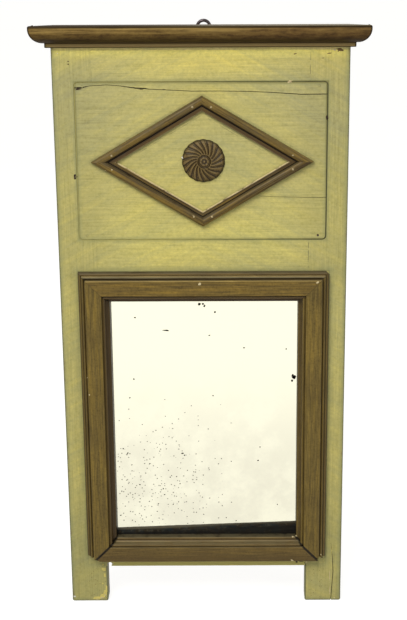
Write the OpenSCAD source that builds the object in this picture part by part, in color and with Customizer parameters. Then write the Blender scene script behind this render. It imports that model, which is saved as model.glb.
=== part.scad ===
// Painted pillar mirror: a joined board frame with a lozenge panel above a moulded mirror frame.
// X runs to the right, Y to the back and Z up. The feet stand on Z = 0.

/* [Boards] */
// Width across the two stiles
body_w = 420; // [380:5:460]
// Height from the feet to the top of the cornice
total_h = 885; // [865:5:930]
// Thickness of the stiles and rails
board_t = 24; // [21:1:30]
// Width of each stile
stile_w = 56; // [50:1:58]
// Height of the feet below the bottom rail
foot_h = 59.5; // [40:0.5:62]
// Radius of the worn corners at the foot of each stile
foot_wear = 3; // [1:0.5:6]
// Size of the broken corner at the bottom rail's left end
rail_chip = 6.5; // [4:0.5:9]
// Length of the tenons
tenon_l = 36; // [25:1:40]
// Thickness of the tenons
tenon_t = 7; // [5:0.5:8]
// Height that each tenon loses at its shoulders
tenon_shoulder = 5; // [3:1:8]
// Diameter of the wooden pegs
peg_d = 8; // [6:0.5:10]

/* [Upper panel] */
// Width of the border between the boards' outer edges and the panel
panel_border = 31.5; // [28:0.5:45]
// Height of the panel
panel_h = 226; // [190:1:230]
// Distance from the cornice's top down to the panel
panel_drop = 79.5; // [72:0.5:95]
// Thickness of the panel
panel_t = 9.5; // [7:0.5:10.5]
// Depth of the recess that holds the panel
recess_d = 10; // [9.5:0.5:11.5]
// Shadow gap round the panel
panel_gap = 1.4; // [0.5:0.1:3]
// Radius of the panel's corners
panel_r = 5; // [1:0.5:10]

/* [Lozenge and rosette] */
// Distance from the lozenge's side tips to the panel's edges
lozenge_side_gap = 18.8; // [12:0.1:40]
// Distance from the lozenge's upper and lower tips to the panel's edges
lozenge_end_gap = 19; // [12:0.5:40]
// Height of the lozenge's centre above the panel's centre
lozenge_rise = 0.5; // [-3:0.5:3]
// Shift of the lozenge to the right
lozenge_dx = 1; // [-3:0.5:3]
// Width of the lozenge moulding
lozenge_w = 18.8; // [15:0.1:22]
// Height of the rounded part of the lozenge moulding
lozenge_t = 9; // [7:0.5:12]
// Radius of the rosette
rosette_r = 31; // [25:0.5:36]
// Thickness of the rosette at its middle
rosette_t = 9; // [8:0.5:12]
// Radius of the flower in the rosette's middle
flower_r = 9; // [7:0.5:11]
// Number of lobes round the rosette
rosette_lobes = 18; // [12:1:24]
// Shift of the rosette to the right of the lozenge's centre
rosette_dx = 1.5; // [-3:0.5:3]

/* [Mirror frame] */
// Width of the border between the boards' outer edges and the frame
frame_border = 26.2; // [24:0.1:30]
// Distance from the panel down to the frame
frame_drop = 47.7; // [40:0.1:60]
// Height of the frame's full section above the feet's lower ends
frame_z = 63.8; // [60:0.1:70]
// Shift of the frame to the right
sight_dx = 1; // [-2:0.5:2]
// Width of the beaded outer zone of the moulding
bead_w = 10.5; // [8:0.5:12]
// Width of the moulding's flat face
face_w = 23.5; // [18:0.5:26]
// Width of the stepped inner zone of the moulding
step_w = 11.2; // [9:0.1:13]
// Height of the moulding's face above the boards
face_h = 16; // [13:0.5:20]
// Depth of the moulding's tongue inside the opening
tongue_d = 10; // [8:0.5:12]
// Width of the tongue
tongue_w = 13; // [10:0.5:13]
// Opening of the lower mitres, which have sprung apart
mitre_gap = 0.9; // [0.2:0.1:1.6]
// Width of the corner broken off the frame at its lower left
corner_wear = 21; // [10:1:26]
// Height of the end broken off the right side piece
end_wear = 5; // [2:0.5:8]
// Size of the worn upper right corner
corner_round = 4.5; // [2:0.5:7]

/* [Glass] */
// Thickness of the mirror plate
glass_t = 3; // [2:0.5:4]
// How far the plate stops short of the frame at its lower left
plate_short_left = 11; // [6:0.5:16]
// How far the plate stops short of the frame at its lower right
plate_short_right = 22; // [17:0.5:30]
// Thickness of the backboard
backboard_t = 6; // [4:0.5:7]

/* [Cornice] */
// How far the cornice stands out from the boards
cornice_out = 27.3; // [20:0.1:32]
// Height of the cornice's flat upper edge
cornice_edge = 7.5; // [4:0.5:9]
// Radius of the cornice's rounded part
cornice_r = 17; // [12:0.5:18]
// How far the lower fillet stands out
fillet_out = 7.4; // [4:0.2:9]
// Height of the lower fillet
fillet_h = 6.5; // [4:0.5:9]

/* [Hanging ring] */
// Shift of the ring to the right
ring_dx = 4; // [-10:1:10]
// Radius of the ring to the middle of its wire
ring_r = 8.9; // [8:0.1:12]
// Thickness of the ring's wire
ring_wire = 4.6; // [3:0.2:5]
// Height of the ring's middle below the cornice's top
ring_drop = 4.5; // [3:0.5:8]
// Thickness of the staple's wire
staple_wire = 2.5; // [2:0.1:3]
// Play of the ring's wire in the staple
staple_play = 0.6; // [0.4:0.1:1]
// Length of the staple's legs in the wood
staple_bite = 14; // [10:1:18]

/* [Nails] */
// Diameter of a nail's shank
nail_d = 1.8; // [1.2:0.1:2.4]
// Diameter of a nail's head
nail_head_d = 3.4; // [2.6:0.1:4.5]
// Thickness of a nail's head
nail_head_t = 0.8; // [0.5:0.1:1.2]
// Depth to which the moulding nails go into the boards
nail_bite = 11; // [6:1:14]
// Distance of the panel's nails from its sides
panel_nail_in = 11; // [8:0.5:16]
// Distance of the lozenge's nails from its outer edges
lozenge_nail_in = 6.5; // [5:0.5:8]
// Length of the backboard's nails outside the boards
back_nail_out = 9; // [6:1:12]
// Depth to which the backboard's nails go into the boards
back_nail_bite = 10; // [8:1:14]
// Distance of the backboard's side nails from its ends
back_nail_end = 55; // [40:5:80]
// Distance from the cornice's top to the joint's upper nail
joint_nail_drop = 50; // [45:1:60]

/* [Hidden] */

$fn = 48;
// play between a nail, peg or tenon and its hole
fit = 0.05;
// play of a thin board in its opening
board_play = 1.5;
// overlap that makes a cut run past a face
cut = 1;

// depth of the whole object, which centres it on Y = 0
loop_r = ring_wire / 2 + staple_play + staple_wire / 2;
ring_y = board_t + staple_play + ring_wire / 2;
back_out = staple_play + ring_wire / 2 + loop_r + staple_wire / 2;
front_y = cornice_out - (cornice_out + board_t + back_out) / 2;

// boards and panel
half_w = body_w / 2;
inner_x = half_w - stile_w;
board_top = total_h - 1;
panel_w = body_w - 2 * panel_border;
panel_z = total_h - panel_drop - panel_h;
panel_y = recess_d - panel_t;
recess_w = panel_w + 2 * panel_gap;
recess_h = panel_h + 2 * panel_gap;
recess_z = panel_z - panel_gap;
recess_lap = stile_w - panel_border;

// mirror frame
frame_w = bead_w + face_w + step_w;
out_a = half_w - frame_border;
out_z0 = frame_z;
out_z1 = panel_z - frame_drop;
sight_z0 = out_z0 + frame_w;
sight_z1 = out_z1 - frame_w;
trim_z = out_z0 + bead_w;
open_z0 = sight_z0 - tongue_w - board_play;
open_z1 = sight_z1 + tongue_w + board_play;
glass_y = tongue_d;
plate_a = inner_x - board_play;
backboard_y = glass_y + glass_t;
back_nail_y = backboard_y + backboard_t + nail_d / 2 + fit;

// each rail as [lower edge, upper edge]
bottom_rail_z = [foot_h, open_z0];
middle_rail_z = [open_z1, recess_z + recess_lap - tenon_shoulder];
top_rail_z = [recess_z + recess_h - recess_lap + tenon_shoulder, board_top];
tenon_y = recess_d + 2;
peg_x = inner_x + tenon_l * 0.4;
peg_bottom_y = tenon_y - 1;

// lozenge and rosette
lozenge_a = panel_w / 2 - lozenge_side_gap;
lozenge_b = panel_h / 2 - lozenge_end_gap;
lozenge_z = panel_z + panel_h / 2 + lozenge_rise;
lozenge_angle = atan2(lozenge_b, lozenge_a);
lozenge_dist = lozenge_a * lozenge_b / sqrt(pow(lozenge_a, 2) + pow(lozenge_b, 2));
lozenge_round = lozenge_w * 0.63;
rosette_x = lozenge_dx + rosette_dx;
rosette_z = lozenge_z + rosette_dx;

// cornice
cornice_h = cornice_edge + cornice_r + fillet_h;
cornice_nail_z = total_h - cornice_h + fillet_h / 2;

// ring
ring_z = total_h - ring_drop;
pivot_z = ring_z - ring_r;

// nails, as shares of the width or height that they hold
frame_nail_w = bead_w + face_w / 2;
frame_side_nails = [0.22, 0.5, 0.82];
frame_end_nails = [-0.5, 0.5];
cornice_nails_x = [-0.64, -0.21, 0.21, 0.64];
lozenge_nail_t = [0.12, 0.91];

// cracks as [x, z, width]: x in half widths of the panel and z in its heights below its top
panel_crack = [
    [-1.01, 0.032, 1.8], [-0.94, 0.031, 1.8], [-0.885, 0.021, 0.8], [-0.745, 0.015, 0.9],
    [-0.65, 0.02, 0.8], [-0.52, 0.035, 1.8], [-0.44, 0.038, 1.8], [-0.41, 0.042, 0.8],
    [-0.07, 0.055, 1], [0.16, 0.055, 0.9], [0.38, 0.058, 1], [0.55, 0.064, 1],
    [0.79, 0.077, 1.2], [1.01, 0.076, 1.2]
];
panel_hairline = [[0.45, 0.717, 0.4], [0.58, 0.725, 0.6], [0.78, 0.728, 0.6], [1.01, 0.731, 0.8]];
// x in stile widths from the outer edge and z in heights of the foot
stile_crack = [[0.286, 1.65, 0.4], [0.232, 1.18, 0.8], [0.214, 0.84, 0.9], [0.268, -0.02, 1]];
crack_d = panel_t * 0.3;

module in_place() {
    translate([0, front_y, 0]) children();
}

// A block given by its lowest and highest corners
module block(low, high) {
    translate(low) cube(high - low);
}

// A flat shape drawn in X and Z, given a thickness from y0 to y1
module slab(y0, y1) {
    translate([0, y1, 0]) rotate([90, 0, 0]) linear_extrude(y1 - y0) children();
}

// A rod along Y from y0 to y1
module rod_y(x, z, d, y0, y1) {
    translate([x, y1, z]) rotate([90, 0, 0]) cylinder(h = y1 - y0, d = d);
}

// A nail along Y whose head's top is at y and whose point is at y_end
module nail_y(x, z, y, y_end, play = 0) {
    rod_y(x, z, nail_d + 2 * play, y + nail_head_t / 2, y_end + play);
    rod_y(x, z, nail_head_d + 2 * play, y - (play > 0 ? cut : 0), y + nail_head_t + play);
}

// A nail along X whose head's outer face is at x and whose point is at x_end
module nail_x(x, x_end, y, z, play = 0) {
    dir = sign(x_end - x);
    out = play > 0 ? cut : 0;
    translate([x, y, z]) rotate([0, 90 * dir, 0]) {
        cylinder(h = abs(x_end - x) + play, d = nail_d + 2 * play);
        translate([0, 0, -out]) cylinder(h = nail_head_t + play + out, d = nail_head_d + 2 * play);
    }
}

function on_panel(points) =
    [for (p = points) [p[0] * panel_w / 2, panel_z + panel_h * (1 - p[1]), p[2]]];

function on_stile(points) = [for (p = points) [half_w - p[0] * stile_w, p[1] * foot_h, p[2]]];

// A narrow groove that follows the points of a crack, cut in from y
module crack_groove(points, y, across_x = false) {
    n = len(points);
    off = across_x ? [0.5, 0] : [0, 0.5];
    upper = [for (p = points) [p[0], p[1]] + off * p[2]];
    lower = [for (i = [n - 1 : -1 : 0]) [points[i][0], points[i][1]] - off * points[i][2]];
    slab(y - cut, y + crack_d) polygon(concat(upper, lower));
}

module rounded_rect(w, h, r) {
    for (x = [r, w - r], z = [r, h - r]) translate([x, z]) circle(r);
    translate([r, 0]) square([w - 2 * r, h]);
    translate([0, r]) square([w, h - 2 * r]);
}

// The space cut out of the boards for the upper panel
module panel_recess() {
    slab(-cut, recess_d)
        translate([-recess_w / 2, recess_z]) rounded_rect(recess_w, recess_h, panel_r + panel_gap);
}

// Boards

// A stile's front view from its left edge x0, with worn corners at its foot
module stile_outline(x0) {
    r = foot_wear;
    translate([x0, r]) square([stile_w, board_top - r]);
    translate([x0 + r, 0]) square([stile_w - 2 * r, 2 * r]);
    for (x = [r, stile_w - r]) translate([x0 + x, r]) circle(r);
}

module stile(side) {
    difference() {
        slab(0, board_t) stile_outline(side > 0 ? inner_x : -half_w);
        panel_recess();
        for (rail = [bottom_rail_z, middle_rail_z, top_rail_z]) mortise(side, rail);
        peg_holes(side);
        frame_nail_set(fit);
        if (side < 0) joint_nail_set(fit);
        backboard_nail_set(fit);
        cornice_side_nail(side, fit);
        panel_nail_set(fit);
        if (side > 0) crack_groove(on_stile(stile_crack), 0, true);
    }
}

module mortise(side, rail) {
    block(
        [side > 0 ? inner_x - cut : -inner_x - tenon_l - 2 * fit, tenon_y - fit,
            rail[0] + tenon_shoulder - fit],
        [side > 0 ? inner_x + tenon_l + 2 * fit : -inner_x + cut, tenon_y + tenon_t + fit,
            rail[1] - tenon_shoulder + fit]
    );
}

module rail(z) {
    difference() {
        union() {
            block([-inner_x + fit, 0, z[0]], [inner_x - fit, board_t, z[1]]);
            block(
                [-inner_x - tenon_l, tenon_y, z[0] + tenon_shoulder],
                [inner_x + tenon_l, tenon_y + tenon_t, z[1] - tenon_shoulder]
            );
        }
        for (side = [-1, 1]) peg_holes(side);
        frame_nail_set(fit);
        panel_nail_set(fit);
        backboard_nail_set(fit);
        children();
    }
}

// heights of the pegs in one rail: one in a low rail and two in a high one
function peg_heights(z) =
    z[1] - z[0] < 6 * peg_d ? [(z[0] + z[1]) / 2]
    : [z[0] + (z[1] - z[0]) * 0.28, z[0] + (z[1] - z[0]) * 0.72];

module peg_holes(side) {
    for (rail = [bottom_rail_z, middle_rail_z, top_rail_z], z = peg_heights(rail))
        rod_y(side * peg_x, z, peg_d + 2 * fit, peg_bottom_y - fit, board_t + cut);
}

module joint_pegs() {
    color("burlywood") in_place()
        for (side = [-1, 1], rail = [bottom_rail_z, middle_rail_z, top_rail_z], z = peg_heights(rail))
            rod_y(side * peg_x, z, peg_d, peg_bottom_y, board_t);
}

module joint_nail_set(play) {
    for (drop = [joint_nail_drop, joint_nail_drop + 2.2 * nail_d])
        rod_y(
            stile_w * 0.43 - half_w, total_h - drop,
            nail_d + 2 * play, play > 0 ? -cut : 0.2, nail_bite + play
        );
}

module joint_nails() {
    color("dimgray") in_place() joint_nail_set(0);
}

module left_stile() {
    color("darkkhaki") in_place() stile(-1);
}

module right_stile() {
    color("darkkhaki") in_place() stile(1);
}

module top_rail() {
    color("darkkhaki") in_place() rail(top_rail_z) {
        panel_recess();
        cornice_front_nail_set(fit);
        staple_legs(fit);
    }
}

module middle_rail() {
    color("darkkhaki") in_place() rail(middle_rail_z) panel_recess();
}

// The lower corners are broken away, so that light shows past the left one
module bottom_rail() {
    color("darkkhaki") in_place() rail(bottom_rail_z) {
        slab(-cut, board_t + cut) polygon([
            [-inner_x - cut, foot_h - cut], [-inner_x + rail_chip * 0.7, foot_h - cut],
            [-inner_x + rail_chip, foot_h + tenon_shoulder * 0.8],
            [-inner_x - cut, foot_h + tenon_shoulder * 0.8]
        ]);
        slab(-cut, tenon_y - 1) polygon([
            [-inner_x - cut, foot_h], [-inner_x + rail_chip, foot_h],
            [-inner_x + rail_chip * 1.2, foot_h + rail_chip], [-inner_x - cut, foot_h + rail_chip]
        ]);
        slab(-cut, tenon_y - 2) polygon([
            [inner_x + cut, foot_h - cut], [inner_x - rail_chip * 0.25, foot_h - cut],
            [inner_x + cut, foot_h + rail_chip * 0.5]
        ]);
    }
}

// Upper panel

module upper_panel() {
    color("khaki") in_place() difference() {
        slab(panel_y, recess_d)
            translate([-panel_w / 2, panel_z]) rounded_rect(panel_w, panel_h, panel_r);
        crack_groove(on_panel(panel_crack), panel_y);
        crack_groove(on_panel(panel_hairline), panel_y);
        lozenge_nail_set(fit);
        panel_nail_set(fit);
        rosette_peg(fit);
    }
}

module panel_nail_set(play) {
    x = panel_w / 2 - panel_nail_in;
    for (sx = [-x, x], z = [panel_z + panel_nail_in / 2, panel_z + panel_h - panel_nail_in / 2])
        nail_y(sx, z, panel_y + 0.1, recess_d + nail_bite - 1, play);
}

module panel_nails() {
    color("dimgray") in_place() panel_nail_set(0);
}

// Lozenge

// Section of the lozenge moulding: X inwards from its outer edge, Y its height
module lozenge_section() {
    r = lozenge_round / 2;
    ledge = lozenge_t * 0.5;
    intersection() {
        translate([r, lozenge_t - r]) circle(r);
        square([lozenge_round, lozenge_t]);
    }
    square([lozenge_round, lozenge_t - r]);
    square([lozenge_w, ledge * 0.45]);
    translate([lozenge_w * 0.7, 0]) square([lozenge_w * 0.27, ledge]);
}

// One side of the lozenge, mitred on the lozenge's two axes; side and up are 1 or -1
module lozenge_side(side, up) {
    far = lozenge_a * 1.1;
    difference() {
        translate([lozenge_dx, panel_y, lozenge_z])
            mirror([side < 0 ? 1 : 0, 0, 0]) mirror([0, 0, up < 0 ? 1 : 0]) intersection() {
                rotate([0, lozenge_angle, 0]) translate([0, 0, lozenge_dist]) rotate([180, 90, 0])
                    linear_extrude(lozenge_a * 2.4, center = true) lozenge_section();
                block([fit, -2 * lozenge_t, fit], [far, cut, far]);
            }
        lozenge_nail_set(fit);
    }
}

module lozenge_upper_left() {
    color("saddlebrown") in_place() lozenge_side(-1, 1);
}

module lozenge_upper_right() {
    color("saddlebrown") in_place() lozenge_side(1, 1);
}

module lozenge_lower_left() {
    color("saddlebrown") in_place() lozenge_side(-1, -1);
}

module lozenge_lower_right() {
    color("saddlebrown") in_place() lozenge_side(1, -1);
}

// Two nails in each side of the lozenge, near its ends
module lozenge_nail_set(play) {
    k = 1 - lozenge_nail_in / lozenge_dist;
    for (side = [-1, 1], up = [-1, 1], t = lozenge_nail_t)
        nail_y(
            lozenge_dx + side * lozenge_a * k * (1 - t),
            lozenge_z + up * lozenge_b * k * t,
            panel_y - lozenge_t - 0.1, panel_y + panel_t - 1, play
        );
}

module lozenge_nails() {
    color("silver") in_place() lozenge_nail_set(0);
}

// Rosette

module rosette_peg(play) {
    rod_y(rosette_x, rosette_z, peg_d * 0.75 + 2 * play, panel_y - cut, panel_y + panel_t * 0.7 + play);
}

// Half of the rosette's section: a flat rim, a shallow dome and a flat seat for the flower
module rosette_section(rim_r, rim_t, seat_t) {
    dome_r = rosette_r * 0.86;
    dome_h = rosette_t * 0.4;
    sphere_r = (pow(dome_r, 2) + pow(dome_h, 2)) / (2 * dome_h);
    square([rim_r, rim_t]);
    intersection() {
        translate([0, rim_t + dome_h - sphere_r]) circle(sphere_r, $fn = 180);
        square([rim_r, seat_t]);
    }
}

module rosette() {
    rim_t = rosette_t * 0.35;
    seat_t = rosette_t * 0.68;
    lobe_r = rosette_r * 0.11;
    petal_r = flower_r * 0.29;
    color("saddlebrown") in_place() {
        translate([rosette_x, panel_y, rosette_z]) rotate([90, 0, 0]) {
            rotate(5) rotate_extrude() rosette_section(rosette_r - lobe_r, rim_t, seat_t);
            for (i = [0 : rosette_lobes - 1])
                rotate(i * 360 / rosette_lobes)
                    translate([rosette_r - lobe_r, 0, 0]) cylinder(h = rim_t - 0.3, r = lobe_r, $fn = 24);
            for (i = [0 : 5])
                rotate(90 + i * 60) translate([flower_r - petal_r, 0, rim_t])
                    cylinder(h = rosette_t - rim_t - 0.6, r = petal_r, $fn = 24);
            translate([0, 0, rim_t]) rotate(20)
                cylinder(h = rosette_t - rim_t, r = flower_r * 0.6, $fn = 32);
        }
        rosette_peg(0);
    }
}

// Mirror frame

// Section of the frame moulding: X is the depth behind the boards' face, Y the way inwards
module frame_section() {
    quarter_r = bead_w * 0.36;
    quarter_h = face_h * 0.32;
    bead_r = bead_w * 0.15;
    bead_h = face_h * 0.66;
    face_in = bead_w + face_w;
    edge_r = face_h * 0.05;
    small_h = face_h * 0.78;
    small_r = step_w * 0.14;
    cove_r = step_w * 0.3;
    lip_h = face_h * 0.16;
    lip_r = step_w * 0.125;
    difference() {
        union() {
            intersection() {
                translate([-quarter_h, quarter_r]) circle(quarter_r);
                translate([-face_h, 0]) square([face_h, quarter_r]);
            }
            translate([-quarter_h, 0]) square([quarter_h, bead_w]);
            translate([-face_h * 0.47, quarter_r]) square([face_h * 0.47, bead_w - quarter_r]);
            translate([-bead_h, bead_w * 0.66]) circle(bead_r);
            translate([-bead_h, bead_w * 0.66 - bead_r]) square([bead_h, 2 * bead_r]);
            translate([-face_h * 0.59, bead_w * 0.66]) square([face_h * 0.59, bead_w * 0.34]);
            translate([-face_h + edge_r, bead_w]) square([face_h - edge_r, face_w]);
            translate([-face_h, bead_w + edge_r]) square([face_h, face_w - 2 * edge_r]);
            translate([-face_h + edge_r, bead_w + edge_r]) circle(edge_r);
            translate([-face_h + edge_r, face_in - edge_r]) circle(edge_r);
            translate([-small_h, face_in]) square([small_h, step_w * 0.43]);
            translate([-small_h, face_in + step_w * 0.29]) circle(small_r);
            translate([-lip_h - cove_r, face_in]) square([lip_h + cove_r, step_w * 0.43 + cove_r]);
            translate([-lip_h, face_in]) square([lip_h, step_w - lip_r]);
            translate([-lip_h + lip_r, face_in]) square([lip_h - lip_r, step_w]);
            translate([-lip_h + lip_r, frame_w - lip_r]) circle(lip_r);
            translate([-1, frame_w - tongue_w]) square([tongue_d + 1, tongue_w]);
        }
        translate([-lip_h - cove_r, face_in + step_w * 0.43 + cove_r]) circle(cove_r);
    }
}

// A straight length of the moulding along X with its outer edge on Z = 0, facing up inwards
module frame_stick(long) {
    rotate([90, 0, 90]) translate([0, 0, -long / 2]) linear_extrude(long) frame_section();
}

// What each piece keeps after mitring and wear, as a flat shape in X and Z
module frame_zone(which) {
    reach = frame_w * 1.2;
    x0 = sight_dx - out_a;
    x1 = sight_dx + out_a;
    z0 = out_z0 + reach;
    z1 = out_z1 - reach;
    // the worn lower left corner meets the mitre at worn_in from the frame's outer edges
    slope = 0.38;
    worn_in = (bead_w + slope * corner_wear) / (1 + slope);
    g = mitre_gap;
    if (which == "bottom")
        polygon([
            [x0 + corner_wear, trim_z], [x1 - bead_w - g, trim_z], [x1 - reach - g, z0],
            [x0 + reach + g, z0], [x0 + worn_in + g, out_z0 + worn_in]
        ]);
    if (which == "top")
        polygon([
            [x0 + 2 * fit, out_z1], [x1 - corner_round, out_z1],
            [x1 - corner_round / 2 - 2 * fit, out_z1 - corner_round / 2],
            [x1 - reach - 2 * fit, z1], [x0 + reach + 2 * fit, z1]
        ]);
    if (which == "left")
        polygon([
            [x0, trim_z + slope * corner_wear], [x0 + worn_in, out_z0 + worn_in],
            [x0 + reach, z0], [x0 + reach, z1], [x0, out_z1]
        ]);
    if (which == "right")
        polygon([
            [x1, trim_z + end_wear], [x1 - bead_w - end_wear, trim_z + end_wear],
            [x1 - reach, z0], [x1 - reach, z1],
            [x1 - corner_round / 2, out_z1 - corner_round / 2], [x1, out_z1 - corner_round]
        ]);
}

module frame_piece(which) {
    wide = 2 * out_a + frame_w;
    high = out_z1 - out_z0 + frame_w;
    color("saddlebrown") in_place() difference() {
        intersection() {
            if (which == "bottom") translate([sight_dx, 0, out_z0]) frame_stick(wide);
            if (which == "top") translate([sight_dx, 0, out_z1]) mirror([0, 0, 1]) frame_stick(wide);
            if (which == "left")
                translate([sight_dx - out_a, 0, (out_z0 + out_z1) / 2]) rotate([0, 90, 0]) frame_stick(high);
            if (which == "right")
                translate([sight_dx + out_a, 0, (out_z0 + out_z1) / 2])
                    mirror([1, 0, 0]) rotate([0, 90, 0]) frame_stick(high);
            slab(-face_h - cut, tongue_d + cut) frame_zone(which);
        }
        frame_nail_set(fit);
    }
}

module frame_top() {
    frame_piece("top");
}

module frame_bottom() {
    frame_piece("bottom");
}

module frame_left() {
    frame_piece("left");
}

module frame_right() {
    frame_piece("right");
}

module frame_nail_set(play) {
    y = -face_h + 0.2;
    for (side = [-1, 1], share = frame_side_nails)
        nail_y(
            sight_dx + side * (out_a - frame_nail_w), open_z0 + share * (open_z1 - open_z0),
            y, nail_bite, play
        );
    for (share = frame_end_nails, z = [out_z0 + frame_nail_w, out_z1 - frame_nail_w])
        nail_y(sight_dx + share * out_a, z, y, nail_bite, play);
}

module frame_nails() {
    color("dimgray") in_place() frame_nail_set(0);
}

// Glass and what holds it

module mirror_glass() {
    color("ivory") in_place() slab(glass_y, glass_y + glass_t) polygon([
        [-plate_a, sight_z0 + plate_short_left], [plate_a, sight_z0 + plate_short_right],
        [plate_a, open_z1 - board_play], [-plate_a, open_z1 - board_play]
    ]);
}

module packing_lath() {
    color("black") in_place() slab(glass_y, glass_y + glass_t) polygon([
        [-plate_a, open_z0], [plate_a, open_z0],
        [plate_a, sight_z0 + plate_short_right - fit], [-plate_a, sight_z0 + plate_short_left - fit]
    ]);
}

module backboard() {
    color("tan") in_place() block(
        [-plate_a, backboard_y, open_z0 + board_play],
        [plate_a, backboard_y + backboard_t, open_z1 - board_play]
    );
}

// Nails driven into the edge of the opening, lying on the back of the backboard
module backboard_nail_set(play) {
    for (side = [-1, 1], z = [open_z0 + back_nail_end, (open_z0 + open_z1) / 2, open_z1 - back_nail_end])
        mirror([side < 0 ? 1 : 0, 0, 0]) translate([inner_x - back_nail_out, back_nail_y, z])
            rotate([0, 90, 0])
                cylinder(h = back_nail_out + back_nail_bite + play, d = nail_d + 2 * play);
    for (x = [-inner_x / 2, inner_x / 2]) {
        rod_z(x, back_nail_y, nail_d + 2 * play, open_z1 - back_nail_out, open_z1 + back_nail_bite + play);
        rod_z(x, back_nail_y, nail_d + 2 * play, open_z0 - back_nail_bite - play, open_z0 + back_nail_out);
    }
}

module rod_z(x, y, d, z0, z1) {
    translate([x, y, z0]) cylinder(h = z1 - z0, d = d);
}

module backboard_nails() {
    color("dimgray") in_place() backboard_nail_set(0);
}

// Cornice

// Section of the cornice: X outwards from the boards, Y up to the cornice's top at 0
module cornice_section() {
    top_r = cornice_edge * 0.21;
    low_r = fillet_h * 0.12;
    square_out = cornice_out - cornice_r;
    translate([0, -cornice_edge]) square([cornice_out - top_r, cornice_edge]);
    translate([0, -cornice_edge]) square([cornice_out, cornice_edge - top_r]);
    translate([cornice_out - top_r, -top_r]) circle(top_r);
    translate([0, -cornice_edge - cornice_r]) square([square_out, cornice_r]);
    intersection() {
        translate([square_out, -cornice_edge]) circle(cornice_r, $fn = 72);
        translate([0, -cornice_edge - cornice_r]) square([cornice_out, cornice_r]);
    }
    translate([0, -cornice_h]) square([fillet_out - low_r, fillet_h]);
    translate([0, -cornice_h + low_r]) square([fillet_out, fillet_h - low_r]);
    translate([fillet_out - low_r, -cornice_h + low_r]) circle(low_r);
}

module cornice_front() {
    long = body_w + 2 * cornice_out;
    reach = cornice_out;
    color("saddlebrown") in_place() difference() {
        intersection() {
            translate([-long / 2, 0, total_h]) rotate([0, 0, -90]) rotate([90, 0, 0])
                mirror([0, 0, 1]) linear_extrude(long) cornice_section();
            translate([0, 0, total_h - cornice_h - cut]) linear_extrude(cornice_h + 2 * cut) polygon([
                [-half_w, 0], [half_w, 0],
                [half_w + reach - fit, -reach], [-half_w - reach + fit, -reach]
            ]);
        }
        cornice_front_nail_set(fit);
    }
}

module cornice_return(side) {
    reach = cornice_out;
    color("saddlebrown") in_place() difference() {
        intersection() {
            mirror([side < 0 ? 1 : 0, 0, 0]) translate([half_w, board_t, total_h])
                rotate([90, 0, 0]) linear_extrude(board_t + reach) cornice_section();
            translate([0, 0, total_h - cornice_h - cut]) linear_extrude(cornice_h + 2 * cut) polygon([
                [side * half_w, 0], [side * (half_w + reach), -reach],
                [side * (half_w + reach), board_t], [side * half_w, board_t]
            ]);
        }
        cornice_side_nail(side, fit);
    }
}

module cornice_left() {
    cornice_return(-1);
}

module cornice_right() {
    cornice_return(1);
}

module cornice_front_nail_set(play) {
    for (share = cornice_nails_x)
        nail_y(share * half_w, cornice_nail_z, -fillet_out + 0.1, nail_bite, play);
}

module cornice_side_nail(side, play) {
    nail_x(
        side * (half_w + fillet_out - 0.1), side * (half_w - nail_bite),
        board_t / 2, cornice_nail_z, play
    );
}

module cornice_nails() {
    color("dimgray") in_place() {
        cornice_front_nail_set(0);
        for (side = [-1, 1]) cornice_side_nail(side, 0);
    }
}

// Ring and staple

// The two legs of the staple, one above and one below the ring's wire
module staple_legs(play) {
    for (up = [-1, 1])
        rod_y(ring_dx, pivot_z + up * loop_r, staple_wire + 2 * play, board_t - staple_bite - play,
            play > 0 ? board_t + cut : ring_y);
}

module ring_staple() {
    color("dimgray") in_place() {
        staple_legs(0);
        translate([ring_dx, ring_y, pivot_z]) rotate([90, 0, 90])
            rotate([0, 0, -90]) rotate_extrude(angle = 180) translate([loop_r, 0]) circle(d = staple_wire);
    }
}

module hanging_ring() {
    color("dimgray") in_place() translate([ring_dx, ring_y, ring_z]) rotate([90, 0, 0])
        rotate_extrude($fn = 72) translate([ring_r, 0]) circle(d = ring_wire);
}

left_stile();
right_stile();
top_rail();
middle_rail();
bottom_rail();
joint_pegs();
joint_nails();
upper_panel();
panel_nails();
lozenge_upper_left();
lozenge_upper_right();
lozenge_lower_left();
lozenge_lower_right();
lozenge_nails();
rosette();
frame_top();
frame_bottom();
frame_left();
frame_right();
frame_nails();
mirror_glass();
packing_lath();
backboard();
backboard_nails();
cornice_front();
cornice_left();
cornice_right();
cornice_nails();
ring_staple();
hanging_ring();
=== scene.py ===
from functools import partial, reduce
import math
import random

import bmesh
import bpy
from bpy.props import FloatProperty, FloatVectorProperty, IntProperty, PointerProperty
from bpy.types import Operator, Panel, PropertyGroup
from mathutils import Matrix, Vector, noise
from mathutils.bvhtree import BVHTree


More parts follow.
